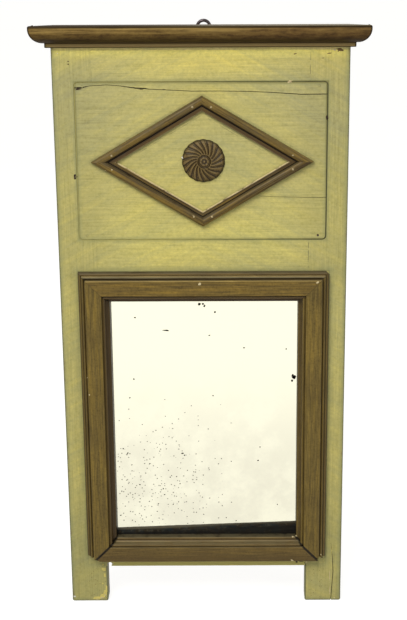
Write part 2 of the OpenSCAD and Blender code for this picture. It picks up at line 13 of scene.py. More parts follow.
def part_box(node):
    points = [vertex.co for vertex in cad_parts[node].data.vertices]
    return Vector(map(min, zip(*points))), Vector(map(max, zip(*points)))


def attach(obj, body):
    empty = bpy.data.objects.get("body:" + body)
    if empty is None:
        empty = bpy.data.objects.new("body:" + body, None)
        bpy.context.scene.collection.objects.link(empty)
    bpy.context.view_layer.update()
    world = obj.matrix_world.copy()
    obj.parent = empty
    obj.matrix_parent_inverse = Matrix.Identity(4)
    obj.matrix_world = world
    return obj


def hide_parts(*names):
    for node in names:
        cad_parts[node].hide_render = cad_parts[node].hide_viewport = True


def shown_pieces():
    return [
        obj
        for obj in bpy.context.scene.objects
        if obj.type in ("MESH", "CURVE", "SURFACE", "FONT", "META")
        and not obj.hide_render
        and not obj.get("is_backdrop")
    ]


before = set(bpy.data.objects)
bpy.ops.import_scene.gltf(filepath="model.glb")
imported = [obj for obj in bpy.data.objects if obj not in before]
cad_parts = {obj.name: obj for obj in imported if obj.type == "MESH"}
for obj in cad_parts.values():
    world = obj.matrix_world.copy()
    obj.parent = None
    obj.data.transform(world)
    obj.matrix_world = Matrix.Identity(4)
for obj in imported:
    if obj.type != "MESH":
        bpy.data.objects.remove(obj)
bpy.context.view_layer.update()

bl_info = {
    "name": "Painted pillar mirror",
    "version": (1, 0, 0),
    "blender": (4, 5, 0),
    "location": "View3D > Sidebar > Pillar Mirror",
    "description": "Worn boards, mouldings, rosette, plate and ring of a painted pillar mirror",
    "category": "Object",
}

MM = 0.001
NEAR = 0.0001  # two measures this close count as the same
WELD = 2e-6  # corners this close are one
BODY = "mirror_body"
BOARD_LOW, BOARD_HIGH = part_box("left_stile")
FRONT, BACK = BOARD_LOW.y, BOARD_HIGH.y
HALF_WIDTH = -BOARD_LOW.x
PANEL_LOW, PANEL_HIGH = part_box("upper_panel")
JOINT_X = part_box("right_stile")[0].x
RAILS_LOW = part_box("bottom_rail")[0].z
SIGHT_X = (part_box("frame_left")[0].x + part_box("frame_right")[1].x) / 2
FRAME_HALF = (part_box("frame_right")[1].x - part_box("frame_left")[0].x) / 2
FRAME_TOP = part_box("frame_top")[1].z
FRAME_WHOLE = 45.2 * MM
SIGHT_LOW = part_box("frame_bottom")[1].z
LOZENGE_X = (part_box("lozenge_upper_left")[1].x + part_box("lozenge_upper_right")[0].x) / 2
LOZENGE_Z = (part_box("lozenge_upper_left")[0].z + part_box("lozenge_lower_left")[1].z) / 2
LOZENGE_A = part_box("lozenge_upper_right")[1].x - LOZENGE_X
LOZENGE_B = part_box("lozenge_upper_left")[1].z - LOZENGE_Z
ROSETTE_LOW, ROSETTE_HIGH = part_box("rosette")
GLASS_LOW, GLASS_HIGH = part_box("mirror_glass")
LATH_LEFT, LATH_RIGHT = GLASS_LOW.z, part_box("packing_lath")[1].z
CORNICE_LOW, CORNICE_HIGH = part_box("cornice_front")
RING_LOW, RING_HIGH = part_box("hanging_ring")
STAPLE_LOW, STAPLE_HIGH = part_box("ring_staple")


def ink(red, green, blue):
    """A colour given as it looks, from 0 to 255, as the renderer counts it."""
    return tuple(((c / 255 + 0.055) / 1.055) ** 2.4 if c > 10 else c / 255 / 12.92
                 for c in (red, green, blue))


def toned(colour, *by):
    """A colour times one factor, or times one for each channel."""
    return [c * factor for c, factor in zip(colour, by * 3 if len(by) == 1 else by)]


def near(first, second):
    """True where two measures are the same but for rounding."""
    return abs(first - second) < NEAR


def length(name, text, default):
    return FloatProperty(name=name, description=text, default=default, min=0, unit="LENGTH")


def share(name, text, default):
    return FloatProperty(name=name, description=text, default=default, min=0, max=1,
                         subtype="FACTOR")


def colour(name, text, red, green, blue):
    return FloatVectorProperty(name=name, description=text, default=ink(red, green, blue),
                               size=3, min=0, max=1, subtype="COLOR")


# What a user would change


class BoardSettings(PropertyGroup):
    paint: colour("Paint", "Yellow-green distemper", 184, 176, 112)
    warm: colour("Warm paint", "Where the paint has yellowed", 200, 187, 106)
    # also laid as painted light on the middle rail, under the cornice and in the gap round the
    # panel
    bright: colour("Bright paint", "Where the paint is least dirty", 214, 202, 112)
    aged: colour("Aged paint", "Where the paint has gone grey", 150, 147, 112)
    # also laid as painted shade beside the mouldings, along the outline and towards the bottom
    grime: colour("Grime", "Grey-green dirt beside the mouldings and edges", 138, 142, 98)
    wood: colour("Bare wood", "Unpainted wood of the back", 150, 122, 88)
    old_crack: colour("Crack", "Inside of cracks and gaps", 44, 36, 20)
    arris: length("Worn arris", "Width of the rubbed edges", 1.1 * MM)
    nibble: length("Nibbles", "Depth of the dents along the edges", 0.6 * MM)


class MouldingSettings(PropertyGroup):
    # umber and red also serve as painted shade, and ochre and dust, made lighter, as painted
    # highlights
    brown: colour("Brown", "Ground of the graining", 106, 87, 42)
    ochre: colour("Ochre", "Light streaks of the graining", 148, 120, 50)
    umber: colour("Umber", "Dark streaks and grooves", 50, 36, 18)
    red: colour("Red brown", "Where the graining has reddened", 92, 68, 38)
    dust: colour("Dust", "Grey dust that has settled", 106, 98, 72)
    bead: length("Outer mouldings", "Width of the frame's outer mouldings", 10.5 * MM)
    face: length("Face", "Width of the frame's flat face", 23.5 * MM)
    step: length("Inner mouldings", "Width of the frame's stepped inner edge", 11.2 * MM)
    high: length("Frame height", "Height of the frame's face above the boards", 16 * MM)
    strip: length("Lozenge strip", "Width of the lozenge's mouldings", 18.8 * MM)
    strip_high: length("Lozenge height", "Height of the lozenge's mouldings", 9 * MM)
    ovolo: length("Cornice round", "Width of the cornice's quarter round", 19.6 * MM)
    drop: length("Cornice drop", "Height of the cornice's quarter round", 20 * MM)
    band: length("Cornice band", "Height of the cornice's upper band", 4.5 * MM)
    fillet: length("Cornice fillet", "How far the fillet below the round stands out", 7.4 * MM)
    wave: length("Waviness", "How far a hand-planed edge wanders", 0.16 * MM)
    rub: length("Rubbing", "How far the ridges are rubbed down", 0.35 * MM)


class RosetteSettings(PropertyGroup):
    wood: colour("Wood", "Dark brown stain", 86, 66, 24)
    hollow: colour("Hollows", "Darkest places between the petals", 34, 26, 12)
    ridge: colour("Ridges", "Rubbed ridges", 118, 98, 56)
    petals: IntProperty(name="Petals", description="Number of whirling petals", default=19, min=6)
    whirl: FloatProperty(name="Whirl", description="How far each petal turns on its way out",
                         default=math.radians(52), subtype="ANGLE", unit="ROTATION")
    cut: length("Cut", "Depth of the carving", 1.5 * MM)


class GlassSettings(PropertyGroup):
    silver: colour("Silver", "Tint of the plate", 240, 238, 217)
    # also laid as a painted darker reflection towards the plate's foot
    clouded: colour("Clouded silver", "Where the silver has dulled", 218, 215, 197)
    spot: colour("Foxing", "Spots in the silver", 52, 46, 40)
    smooth: share("Roughness", "Roughness of the polished plate", 0.03)


class IronSettings(PropertyGroup):
    iron: colour("Iron", "Dark forged iron", 84, 76, 78)
    rust: colour("Rust", "Brown rust in the hollows", 84, 54, 36)
    bright: colour("Bright", "Rubbed nail heads", 176, 160, 122)
    # also laid as painted highlight under the cornice and on the lozenge strips' inner edges
    cream: colour("Fresh wood", "Wood in fresh chips", 222, 204, 156)
    yellow: colour("Fresh paint", "Paint in fresh chips", 226, 210, 116)
    chalk: colour("Ground coat", "White ground under the paint", 238, 234, 220)


class StageSettings(PropertyGroup):
    floor: colour("Floor", "Plain pale floor", 168, 167, 164)
    sky: FloatProperty(name="Room light", description="Strength of the even room light",
                       default=0.55, min=0)
    glow: share("Floor glow", "How far the pale floor is lifted towards white", 0.78)
    key: FloatProperty(name="Key light", description="Power of the large light at the front",
                       default=70, min=0, subtype="POWER", unit="POWER")
    fill: FloatProperty(name="Fill light", description="Power of the light at the right",
                        default=12, min=0, subtype="POWER", unit="POWER")


SETTINGS = {
    "boards": BoardSettings,
    "mouldings": MouldingSettings,
    "rosette": RosetteSettings,
    "glass": GlassSettings,
    "iron": IronSettings,
    "stage": StageSettings,
}


class PillarMirrorSettings(PropertyGroup):
    boards: PointerProperty(type=BoardSettings)
    mouldings: PointerProperty(type=MouldingSettings)
    rosette: PointerProperty(type=RosetteSettings)
    glass: PointerProperty(type=GlassSettings)
    iron: PointerProperty(type=IronSettings)
    stage: PointerProperty(type=StageSettings)


def settings(part):
    return getattr(bpy.context.scene.pillar_mirror, part)


# Drawing of shader trees


class Sheet:
    """One node tree being drawn; each call adds a node and gives its output."""

    def __init__(self, tree):
        self.tree = tree

    def put(self, socket, value):
        if isinstance(value, bpy.types.NodeSocket):
            self.tree.links.new(value, socket)
        elif socket.type == "RGBA" and len(value) == 3:
            socket.default_value = (*value, 1)
        else:
            socket.default_value = value

    def add(self, kind, wires=None, **choices):
        node = self.tree.nodes.new("ShaderNode" + kind)
        for name, value in choices.items():
            setattr(node, name, value)
        for name, value in (wires or {}).items():
            self.put(node.inputs[name], value)
        return node

    def math(self, operation, first, second=0.0, clamp=False):
        return self.add("Math", {0: first, 1: second}, operation=operation,
                        use_clamp=clamp).outputs[0]

    def times(self, *values):
        return reduce(partial(self.math, "MULTIPLY"), values)

    def plus(self, first, second):
        return self.math("ADD", first, second)

    def less(self, first, second):
        return self.math("SUBTRACT", first, second)

    def most(self, first, second):
        return self.math("MAXIMUM", first, second)

    def size(self, value):
        return self.math("ABSOLUTE", value)

    def apart(self, first, second):
        return self.size(self.less(first, second))

    def vector(self, operation, first, second=(0, 0, 0)):
        node = self.add("VectorMath", {0: first, 1: second}, operation=operation)
        return node.outputs["Value" if operation in ("LENGTH", "DISTANCE") else "Vector"]

    def axes(self, vector):
        return self.add("SeparateXYZ", {0: vector}).outputs[:]

    def point(self, x=0.0, y=0.0, z=0.0):
        return self.add("CombineXYZ", {0: x, 1: y, 2: z}).outputs[0]

    def mix(self, amount, first, second, blend="MIX"):
        node = self.add("Mix", data_type="RGBA", blend_type=blend)
        for index, value in ((0, amount), (6, first), (7, second)):
            self.put(node.inputs[index], value)
        return node.outputs[2]

    def noise(self, vector, scale=1.0, detail=3.0, rough=0.55, twist=0.0):
        return self.add("TexNoise", {"Vector": vector, "Scale": scale, "Detail": detail,
                                     "Roughness": rough, "Distortion": twist}).outputs["Fac"]

    def level(self, value, low, high, start=0.0, end=1.0):
        """value from low to high becomes start to end, eased at both."""
        node = self.add("MapRange", interpolation_type="SMOOTHSTEP")
        for name, number in (("Value", value), ("From Min", low), ("From Max", high),
                             ("To Min", start), ("To Max", end)):
            self.put(node.inputs[name], number)
        return node.outputs["Result"]

    def group(self, tree, **wires):
        node = self.add("Group", node_tree=tree)
        for name, value in wires.items():
            self.put(node.inputs[name.replace("_", " ")], value)
        return node.outputs

    def grain(self, place, streak, spacing, sway=5.0, seed=0.0):
        return self.group(wood_grain(), Position=place, Length=streak, Spacing=spacing, Sway=sway,
                          Seed=seed)

    def place(self):
        """Where on the object a point lies, whole and by its axes."""
        place = self.add("TexCoord").outputs["Object"]
        return place, self.axes(place)

    def mark(self, name, kind):
        return self.add("Attribute", attribute_name=name).outputs[kind]

    def cloud(self, place, sizes, detail=4, rough=0.55):
        return self.noise(self.vector("DIVIDE", place, sizes), detail=detail, rough=rough)

    def patch(self, place, size, cover, softness=0.1, seed=0.0):
        return self.group(patches(), Position=place, Size=size, Cover=cover, Softness=softness,
                          Seed=seed)[0]

    def speck(self, place, spacing, radius, cover):
        return self.group(specks(), Position=place, Spacing=spacing, Radius=radius, Cover=cover)[0]

    def dust(self, place, cover):
        return self.group(settled_dust(), Position=place, Cover=cover)[0]

    def beside(self, shade, place, centre, wide, high, reach):
        """The masks outside and inside a border with these half sizes."""
        return self.group(shade(), Position=place, Centre=centre, Half_Width=wide, Half_Height=high,
                          Reach=reach)


class Skin:
    """A colour built up coat by coat. Each coat is as strong as its masks together."""

    def __init__(self, sheet, ground):
        self.sheet, self.colour = sheet, ground

    def lay(self, colour, *masks, blend="MIX"):
        self.colour = self.sheet.mix(self.sheet.times(*masks), self.colour, colour, blend)
        return self

    def tint(self, colour, *masks):
        return self.lay(colour, *masks, blend="MULTIPLY")


SOCKETS = {"F": "NodeSocketFloat", "V": "NodeSocketVector", "C": "NodeSocketColor"}


def effect(name, wires, gives, draw):
    """A shader node group that is built once. wires are (name, kind, default); gives are
    (name, kind)."""
    tree = bpy.data.node_groups.get(name)
    if tree is None:
        tree = bpy.data.node_groups.new(name, "ShaderNodeTree")
        for label, kind, default in wires:
            socket = tree.interface.new_socket(name=label, in_out="INPUT",
                                               socket_type=SOCKETS[kind])
            socket.default_value = (*default, 1) if kind == "C" else default
        for label, kind in gives:
            tree.interface.new_socket(name=label, in_out="OUTPUT", socket_type=SOCKETS[kind])
        sheet = Sheet(tree)
        enter, leave = tree.nodes.new("NodeGroupInput"), tree.nodes.new("NodeGroupOutput")
        results = draw(sheet, {socket.name: socket for socket in enter.outputs if socket.name})
        for label, value in results.items():
            sheet.put(leave.inputs[label], value)
    return tree


PLACE = ("Position", "V", (0, 0, 0))


def wood_grain():
    """Streaks that run along the position's X, with its sizes in millimetres."""
    def draw(sheet, given):
        spot = sheet.vector("SCALE", given["Position"])
        spot.node.inputs["Scale"].default_value = 1000
        spot = sheet.vector("ADD", spot, sheet.point(*[given["Seed"]] * 3))
        sway = sheet.noise(sheet.vector("DIVIDE", spot, (170, 40, 40)), detail=2)
        sway = sheet.times(sheet.less(sway, 0.5), given["Sway"])
        spot = sheet.vector("ADD", spot, sheet.point(0.0, sway, 0.0))
        fine = sheet.vector("DIVIDE", spot,
                            sheet.point(given["Length"], given["Spacing"], given["Spacing"]))
        return {
            "Fine": sheet.noise(fine, detail=5, rough=0.62, twist=0.35),
            "Broad": sheet.noise(sheet.vector("MULTIPLY", fine, (0.3, 0.16, 0.16)), detail=3,
                                 twist=0.5),
            "Pores": sheet.level(sheet.noise(sheet.vector("MULTIPLY", fine, (2.2, 2.4, 2.4)),
                                             detail=2),
                                 0.62, 0.72),
        }
    return effect("Wood grain",
                  [PLACE, ("Length", "F", 60), ("Spacing", "F", 1.2), ("Sway", "F", 5),
                   ("Seed", "F", 0)],
                  [("Fine", "F"), ("Broad", "F"), ("Pores", "F")], draw)


def shade_masks(sheet, off, reach):
    """Masks that fade from a border over reach, to its outside and to its inside."""
    return {"Outside": sheet.times(sheet.level(off, 0.0, reach, 1.0, 0.0),
                                   sheet.math("GREATER_THAN", off, 0.0)),
            "Inside": sheet.times(sheet.level(off, 0.0, sheet.times(reach, -1.0), 1.0, 0.0),
                                  sheet.math("LESS_THAN", off, 0.0))}


def off_centre(sheet, given):
    """How far a position lies from a centre along each axis."""
    off = sheet.vector("SUBTRACT", given["Position"], given["Centre"])
    return sheet.axes(sheet.vector("ABSOLUTE", off))


BORDER = [PLACE, ("Centre", "V", (0, 0, 0)), ("Half Width", "F", 0.1), ("Half Height", "F", 0.1),
          ("Reach", "F", 0.01)]


def border_shade():
    """Masks beside an upright rectangle."""
    def draw(sheet, given):
        x, _, z = off_centre(sheet, given)
        off = sheet.most(sheet.less(x, given["Half Width"]), sheet.less(z, given["Half Height"]))
        return shade_masks(sheet, off, given["Reach"])
    return effect("Border shade", BORDER, [("Outside", "F"), ("Inside", "F")], draw)


def lozenge_shade():
    """Masks beside a lozenge that stands on its point."""
    def draw(sheet, given):
        x, _, z = off_centre(sheet, given)
        wide, high = given["Half Width"], given["Half Height"]
        across = sheet.plus(sheet.math("DIVIDE", x, wide), sheet.math("DIVIDE", z, high))
        run = sheet.vector("LENGTH", sheet.point(wide, high, 0.0))
        distance = sheet.math("DIVIDE", sheet.times(wide, high), run)
        off = sheet.times(sheet.less(across, 1.0), distance)
        return shade_masks(sheet, off, given["Reach"])
    return effect("Lozenge shade", BORDER, [("Outside", "F"), ("Inside", "F")], draw)


def counted(sheet, place, unit):
    """A position in units of so many millimetres."""
    whole = sheet.vector("MULTIPLY", (MM, MM, MM), sheet.point(unit, unit, unit))
    return sheet.vector("DIVIDE", place, whole)


def patches():
    """Uneven patches of a size in millimetres that cover a share of the surface."""
    def draw(sheet, given):
        spot = counted(sheet, given["Position"], given["Size"])
        spot = sheet.vector("ADD", spot, sheet.point(given["Seed"], 0.0, given["Seed"]))
        value = sheet.noise(spot, detail=5, rough=0.6)
        edge = sheet.less(0.78, sheet.times(given["Cover"], 0.56))
        return {"Mask": sheet.level(value, sheet.less(edge, given["Softness"]),
                                    sheet.plus(edge, given["Softness"]))}
    return effect("Patches", [PLACE, ("Size", "F", 30), ("Cover", "F", 0.5), ("Softness", "F", 0.1),
                              ("Seed", "F", 0)], [("Mask", "F")], draw)


def specks():
    """Small round specks, set about a spacing in millimetres apart."""
    def draw(sheet, given):
        spot = counted(sheet, given["Position"], given["Spacing"])
        jitter = sheet.noise(spot, scale=4, detail=2)
        cells = sheet.add("TexVoronoi", {"Vector": spot, "Scale": 1.0})
        off = sheet.plus(cells.outputs["Distance"], sheet.times(jitter, 0.12))
        dot = sheet.level(off, given["Radius"], sheet.plus(given["Radius"], 0.05), 1.0, 0.0)
        pick = sheet.math("LESS_THAN", sheet.axes(cells.outputs["Color"])[0], given["Cover"])
        return {"Mask": sheet.times(dot, pick)}
    return effect("Specks",
                  [PLACE, ("Spacing", "F", 10), ("Radius", "F", 0.12), ("Cover", "F", 0.3)],
                  [("Mask", "F")], draw)


def settled_dust():
    """Dust on faces that look up."""
    def draw(sheet, given):
        up = sheet.axes(sheet.add("TexCoord").outputs["Normal"])[2]
        cloud = sheet.cloud(given["Position"], (0.012, 0.012, 0.012))
        lying = sheet.times(sheet.level(up, 0.15, 0.9), sheet.level(cloud, 0.2, 0.55))
        return {"Mask": sheet.math("MULTIPLY", lying, given["Cover"], clamp=True)}
    return effect("Settled dust", [PLACE, ("Cover", "F", 0.5)], [("Mask", "F")], draw)


def rubbed_and_lit_ridges():
    """Ridges worn by hands and lightened as painted highlight, and hollows that keep the dirt."""
    def draw(sheet, given):
        cloud = sheet.cloud(given["Position"], (0.03, 0.006, 0.006))
        ridge = sheet.level(given["Relief"], 0.12, 0.6)
        hollow = sheet.level(given["Relief"], -0.06, -0.45)
        rubbed = sheet.times(ridge, sheet.level(cloud, 0.35, 0.62))
        return {"Ridge": sheet.math("MULTIPLY", rubbed, given["Cover"], clamp=True),
                "Hollow": hollow}
    return effect("Rubbed ridges", [PLACE, ("Relief", "F", 0), ("Cover", "F", 0.6)],
                  [("Ridge", "F"), ("Hollow", "F")], draw)


# Materials


def finish(name, draw, **plain):
    """A material whose draw gives what reaches the shader's sockets, but for plain values."""
    material = bpy.data.materials.get(name)
    if material is None:
        material = bpy.data.materials.new(name)
        material.use_nodes = True
        material.node_tree.nodes.clear()
        sheet = Sheet(material.node_tree)
        wires = draw(sheet)
        height = wires.pop("Height", None)
        depth = wires.pop("Depth", 0.4 * MM)
        if height is not None:
            wires["Normal"] = sheet.add("Bump", {"Height": height, "Strength": 0.6,
                                                 "Distance": depth}).outputs[0]
        for socket, value in plain.items():
            wires[socket.replace("_", " ")] = value
        shader = sheet.add("BsdfPrincipled", wires)
        sheet.add("OutputMaterial", {"Surface": shader.outputs[0]})
    return material


def over_grain(skin, fine, first, last, depth):
    """What a surface gives whose fine grain sets its roughness, first to last, and its relief."""
    return {"Base Color": skin.colour, "Roughness": skin.sheet.level(fine, 0.3, 0.7, first, last),
            "Height": fine, "Depth": depth}


def bare_wood_colour(sheet, grain, wood):
    """Aged wood: the grain over its ground."""
    dark = toned(wood, 0.55)
    light = [min(1, c * 1.25) for c in wood]
    shade = sheet.mix(sheet.level(grain["Fine"], 0.38, 0.66), dark, light)
    return sheet.mix(sheet.times(sheet.level(grain["Broad"], 0.4, 0.62), 0.45), shade, wood)


def painted(name, upright, grimy, seamed=True):
    """Distemper on a board, with painted light and shade in its colour; upright boards have upright
    grain. The third argument is how strong the grime and the painted shade of sheltered places are,
    and seamed boards show where rails and stiles meet."""
    look, cream, strip = settings("boards"), settings("iron").cream, settings("mouldings").strip
    lozenge, side = (LOZENGE_X, 0, LOZENGE_Z), math.hypot(LOZENGE_A, LOZENGE_B)

    def draw(sheet):
        level, times = sheet.level, sheet.times

        def inside_strips(off, reach):
            """The mask inside a lozenge that lies off within the strips' inner edges."""
            shrink = (strip + off) * side
            return sheet.beside(lozenge_shade, place, lozenge, LOZENGE_A - shrink / LOZENGE_B,
                                LOZENGE_B - shrink / LOZENGE_A, reach)["Inside"]

        def within_rim(reach):
            return sheet.beside(border_shade, place, (0, 0, BOARD_HIGH.z / 2), HALF_WIDTH,
                                BOARD_HIGH.z / 2, reach)["Inside"]

        place, (x, y, z) = sheet.place()
        along = sheet.point(*((z, x, y) if upright else (x, z, y)))
        grain = sheet.grain(along, 60.0, 2.0, 5.0, 11.0 if upright else 3.0)
        brushed = sheet.grain(along, 60.0, 4.0, 3.0, 40.0)
        yellowed = sheet.patch(place, 150.0, 0.5, 0.16, 4.0)
        yellowed = times(yellowed, level(brushed["Broad"], 0.3, 0.66, 0.55, 1.0))
        skin = Skin(sheet, look.paint).lay(look.warm, yellowed, 0.8)
        aside = sheet.size(x)
        # duller on the stiles and greyer at the panel's upper corners
        skin.lay(toned(look.paint, 0.74), level(aside, 120 * MM, 178 * MM, 0.0, 0.5))
        skin.lay(look.aged, level(z, PANEL_LOW.z + 60 * MM, PANEL_HIGH.z - 6 * MM),
                 level(aside, 60 * MM, 150 * MM, 0.2, 1.0), 0.4)
        # painted light: brighter and yellower on the middle rail and at the panel's foot, and
        # lighter on the top rail
        skin.lay(look.bright, level(z, PANEL_LOW.z + 80 * MM, PANEL_LOW.z + 5 * MM),
                 level(aside, 175 * MM, 70 * MM, 0.1, 1.0),
                 level(z, FRAME_TOP + 4 * MM, FRAME_TOP + 30 * MM, 0.25, 1.0), 0.5)
        skin.tint((1.22, 1.18, 1.0), level(z, PANEL_HIGH.z, CORNICE_LOW.z - 22 * MM))
        # lighter at the height of the frame
        skin.tint((1.13, 1.12, 1.08), level(z, FRAME_TOP + 10 * MM, FRAME_TOP - 40 * MM),
                  level(z, 90 * MM, 180 * MM))
        # painted light: brightest close under the cornice, where it lifts the cornice's shade
        skin.lay([min(1, c * 1.35) for c in look.bright],
                 level(z, CORNICE_LOW.z - 21 * MM, CORNICE_LOW.z - 2 * MM, 0.0, 0.85))
        # yellower at the upper right and lighter at the lower right
        skin.tint((1.09, 1.06, 0.93), level(x, 130 * MM, 190 * MM),
                  level(z, PANEL_HIGH.z - 60 * MM, PANEL_HIGH.z))
        skin.tint((1.12, 1.1, 1.07), level(x, 130 * MM, 150 * MM), level(z, 80 * MM, 50 * MM))
        # painted highlight: a pale line just under the cornice
        skin.lay(cream, level(z, CORNICE_LOW.z - 4.6 * MM, CORNICE_LOW.z - 3 * MM),
                 level(yellowed, 0.0, 1.0, 0.3, 0.7))
        # brush marks and grain, and broad sweeps of the brush that slant one way above the lozenge
        # and the other way below it
        mottle = sheet.cloud(place, (0.004, 0.004, 0.004), rough=0.75)
        tilt = times(sheet.less(aside, 60 * MM), 0.55)
        sweep = sheet.grain(sheet.point(x, y, sheet.plus(z, tilt)), 140.0, 9.0, 6.0, 61.0)
        for marks, low, high, tint in (
                (grain["Fine"], 0.54, 0.3, (0.87, 0.87, 0.83)),
                (grain["Fine"], 0.5, 0.72, (1.11, 1.1, 1.08)),
                (brushed["Fine"], 0.5, 0.7, (1.07, 1.06, 1.0)),
                (brushed["Fine"], 0.5, 0.3, (0.93, 0.94, 0.95)),
                (mottle, 0.53, 0.3, (0.86, 0.86, 0.79)), (mottle, 0.5, 0.72, (1.12, 1.12, 1.12)),
                (sweep["Fine"], 0.5, 0.68, (1.09, 1.08, 1.0)),
                (sweep["Fine"], 0.5, 0.32, (0.9, 0.92, 1.0))):
            skin.tint(tint, level(marks, low, high))
        # dirt and painted shade beside what stands on the boards
        cloud = level(sheet.patch(place, 34.0, 0.62, 0.2), 0.0, 1.0, 0.45, 1.0)
        frame_z = (SIGHT_LOW - FRAME_WHOLE + FRAME_TOP) / 2
        frame_box = (SIGHT_X, 0, frame_z), FRAME_HALF, FRAME_TOP - frame_z
        beside_frame = sheet.beside(border_shade, place, *frame_box, 11 * MM)["Outside"]
        close_frame = sheet.beside(border_shade, place, *frame_box, 1.6 * MM)["Outside"]
        panel, half = (PANEL_LOW + PANEL_HIGH) / 2, (PANEL_HIGH - PANEL_LOW) / 2
        by_panel = sheet.beside(border_shade, place, panel, half.x, half.z, 7 * MM)
        by_lozenge = sheet.beside(lozenge_shade, place, lozenge, LOZENGE_A, LOZENGE_B,
                                  5 * MM)["Outside"]
        in_lozenge = inside_strips(0.0, 3.5 * MM)
        grey = times(beside_frame, level(z, FRAME_TOP - 15 * MM, FRAME_TOP, 0.34, 0.5))
        for mask, much in ((by_panel["Outside"], 0.5), (by_panel["Inside"], 0.5),
                           (within_rim(9 * MM), 0.62), (by_lozenge, 0.16), (in_lozenge, 0.34)):
            grey = sheet.most(grey, times(mask, much))
        skin.lay(look.grime, sheet.math("MULTIPLY", times(grey, cloud), grimy, clamp=True))
        # painted shade: a dark line close round the frame, but for its foot
        skin.lay(toned(look.grime, 0.5), close_frame, level(z, 66 * MM, 82 * MM, 0.0, 0.6))
        by_gap = sheet.most(by_panel["Outside"], by_panel["Inside"])
        skin.lay(toned(look.grime, 0.85, 0.72, 0.5), level(by_gap, 0.66, 0.9),
                 level(z, PANEL_LOW.z + 5 * MM, PANEL_HIGH.z - 5 * MM, 0.2, 0.85),
                 level(x, -100 * MM, 150 * MM, 0.45, 1.0))
        # dirt caught in the brush marks beside the lozenge
        upper = level(z, LOZENGE_Z - 5 * MM, LOZENGE_Z + 12 * MM, 0.15, 1.0)
        caught = sheet.most(level(by_lozenge, 0.1, 0.7), times(level(in_lozenge, 0.05, 0.6), upper))
        skin.lay(toned(look.grime, 0.4), caught,
                 level(sheet.speck(place, 1.3, 0.32, 0.6), 0.0, 1.0, 0.12, 0.6))
        if not upright:
            skin.lay(look.bright, level(z, 76 * MM, 70 * MM),
                     sheet.math("LESS_THAN", aside, JOINT_X), 0.8)
        # darker towards the bottom, partly painted shade
        skin.lay(toned(look.grime, 0.82), level(z, 260 * MM, 60 * MM, 0.0, 0.16))
        if seamed:
            # the lines where rails and stiles meet
            broken = times(sheet.patch(place, 11.0, 0.5, 0.06, 17.0),
                           level(x, -10 * MM, 10 * MM, 0.2, 0.6))
            skin.lay(toned(look.grime, 0.32),
                     level(sheet.apart(aside, JOINT_X), 0.9 * MM, 0.3 * MM),
                     broken, sheet.math("GREATER_THAN", z, FRAME_TOP),
                     level(z, 846 * MM, 834 * MM, 0.25, 1.0))
        skin.lay(look.grime, sheet.patch(place, 60.0, 0.3, 0.1, 21.0), 0.12)
        # a line scribed to set out the lozenge
        skin.lay(toned(look.grime, 0.35), inside_strips(4.6 * MM, 1.1 * MM),
                 level(z, LOZENGE_Z + 12 * MM, LOZENGE_Z + 18 * MM),
                 sheet.patch(place, 14.0, 0.5, 0.05, 8.0), 0.7)
        # flecks on the inner halves of the feet, and specks of dirt and of lighter ground
        skin.lay(toned(look.grime, 0.62, 0.34, 0.24), sheet.speck(place, 3.1, 0.24, 0.42),
                 level(z, 66 * MM, 50 * MM, 0.0, 0.9), level(aside, 190 * MM, 174 * MM, 0.15, 1.0))
        skin.lay(look.old_crack, sheet.speck(place, 13.0, 0.05, 0.45), 0.75)
        skin.lay(cream, sheet.speck(place, 23.0, 0.03, 0.3), 0.7)
        # rubbed arrises, and the outline darkened as painted shade
        rim = within_rim(4.5 * MM)
        skin.lay(toned(look.wood, 0.75), rim, sheet.patch(place, 9.0, 0.34, 0.05, 2.0), 0.75)
        skin.lay(toned(look.grime, 0.5), rim, 0.3)
        skin.lay(toned(look.grime, 0.3), level(within_rim(2.1 * MM), 0.15, 0.6, 0.0, 0.85))
        if upright:
            skin.lay(toned(look.grime, 0.45),
                     level(sheet.less(aside, JOINT_X), 2.8 * MM, 1.0 * MM, 0.0, 0.9),
                     sheet.math("LESS_THAN", z, RAILS_LOW))
        # cracks and gaps; the lining of the gap round the panel is painted lighter at the left and
        # darker at the right, as painted light and shade
        facing = sheet.axes(sheet.add("TexCoord").outputs["Normal"])
        gap = sheet.most(level(by_gap, 0.5, 0.75), level(y, FRONT + 4 * MM, FRONT + 6 * MM))
        lining = sheet.mix(level(x, -100 * MM, 60 * MM), look.bright, toned(look.grime, 0.85))
        lining = sheet.mix(level(x, 140 * MM, 150 * MM), lining, toned(look.grime, 0.3))
        skin.lay(sheet.mix(gap, look.old_crack, lining),
                 level(y, FRONT + 1.1 * MM, FRONT + 2.4 * MM),
                 level(facing[1], -0.2, -0.9))
        # the sides are dirtier than the front
        skin.lay(sheet.mix(cloud, toned(look.wood, 0.55), toned(look.grime, 0.7)),
                 level(sheet.size(facing[0]), 0.5, 0.95, 0.0, 0.8))
        # the unpainted back
        near_back = level(sheet.plus(y, times(cloud, 4 * MM)), BACK - 1 * MM, BACK + 2 * MM)
        behind = sheet.most(level(facing[1], 0.3, 0.7), near_back)
        hidden = times(level(sheet.size(facing[2]), 0.5, 0.9),
                       level(y, FRONT + 2 * MM, FRONT + 5 * MM))
        behind = sheet.most(behind, hidden)
        skin.lay(bare_wood_colour(sheet, grain, look.wood), behind)
        ridges = sheet.plus(times(grain["Fine"], 0.6), times(brushed["Fine"], 0.5))
        rough = sheet.plus(level(grain["Fine"], 0.3, 0.7, 0.7, 0.54), times(behind, 0.2))
        return {"Base Color": skin.colour, "Roughness": rough, "Height": ridges, "Depth": 0.35 * MM}
    return finish(name, draw, Specular_IOR_Level=0.4)


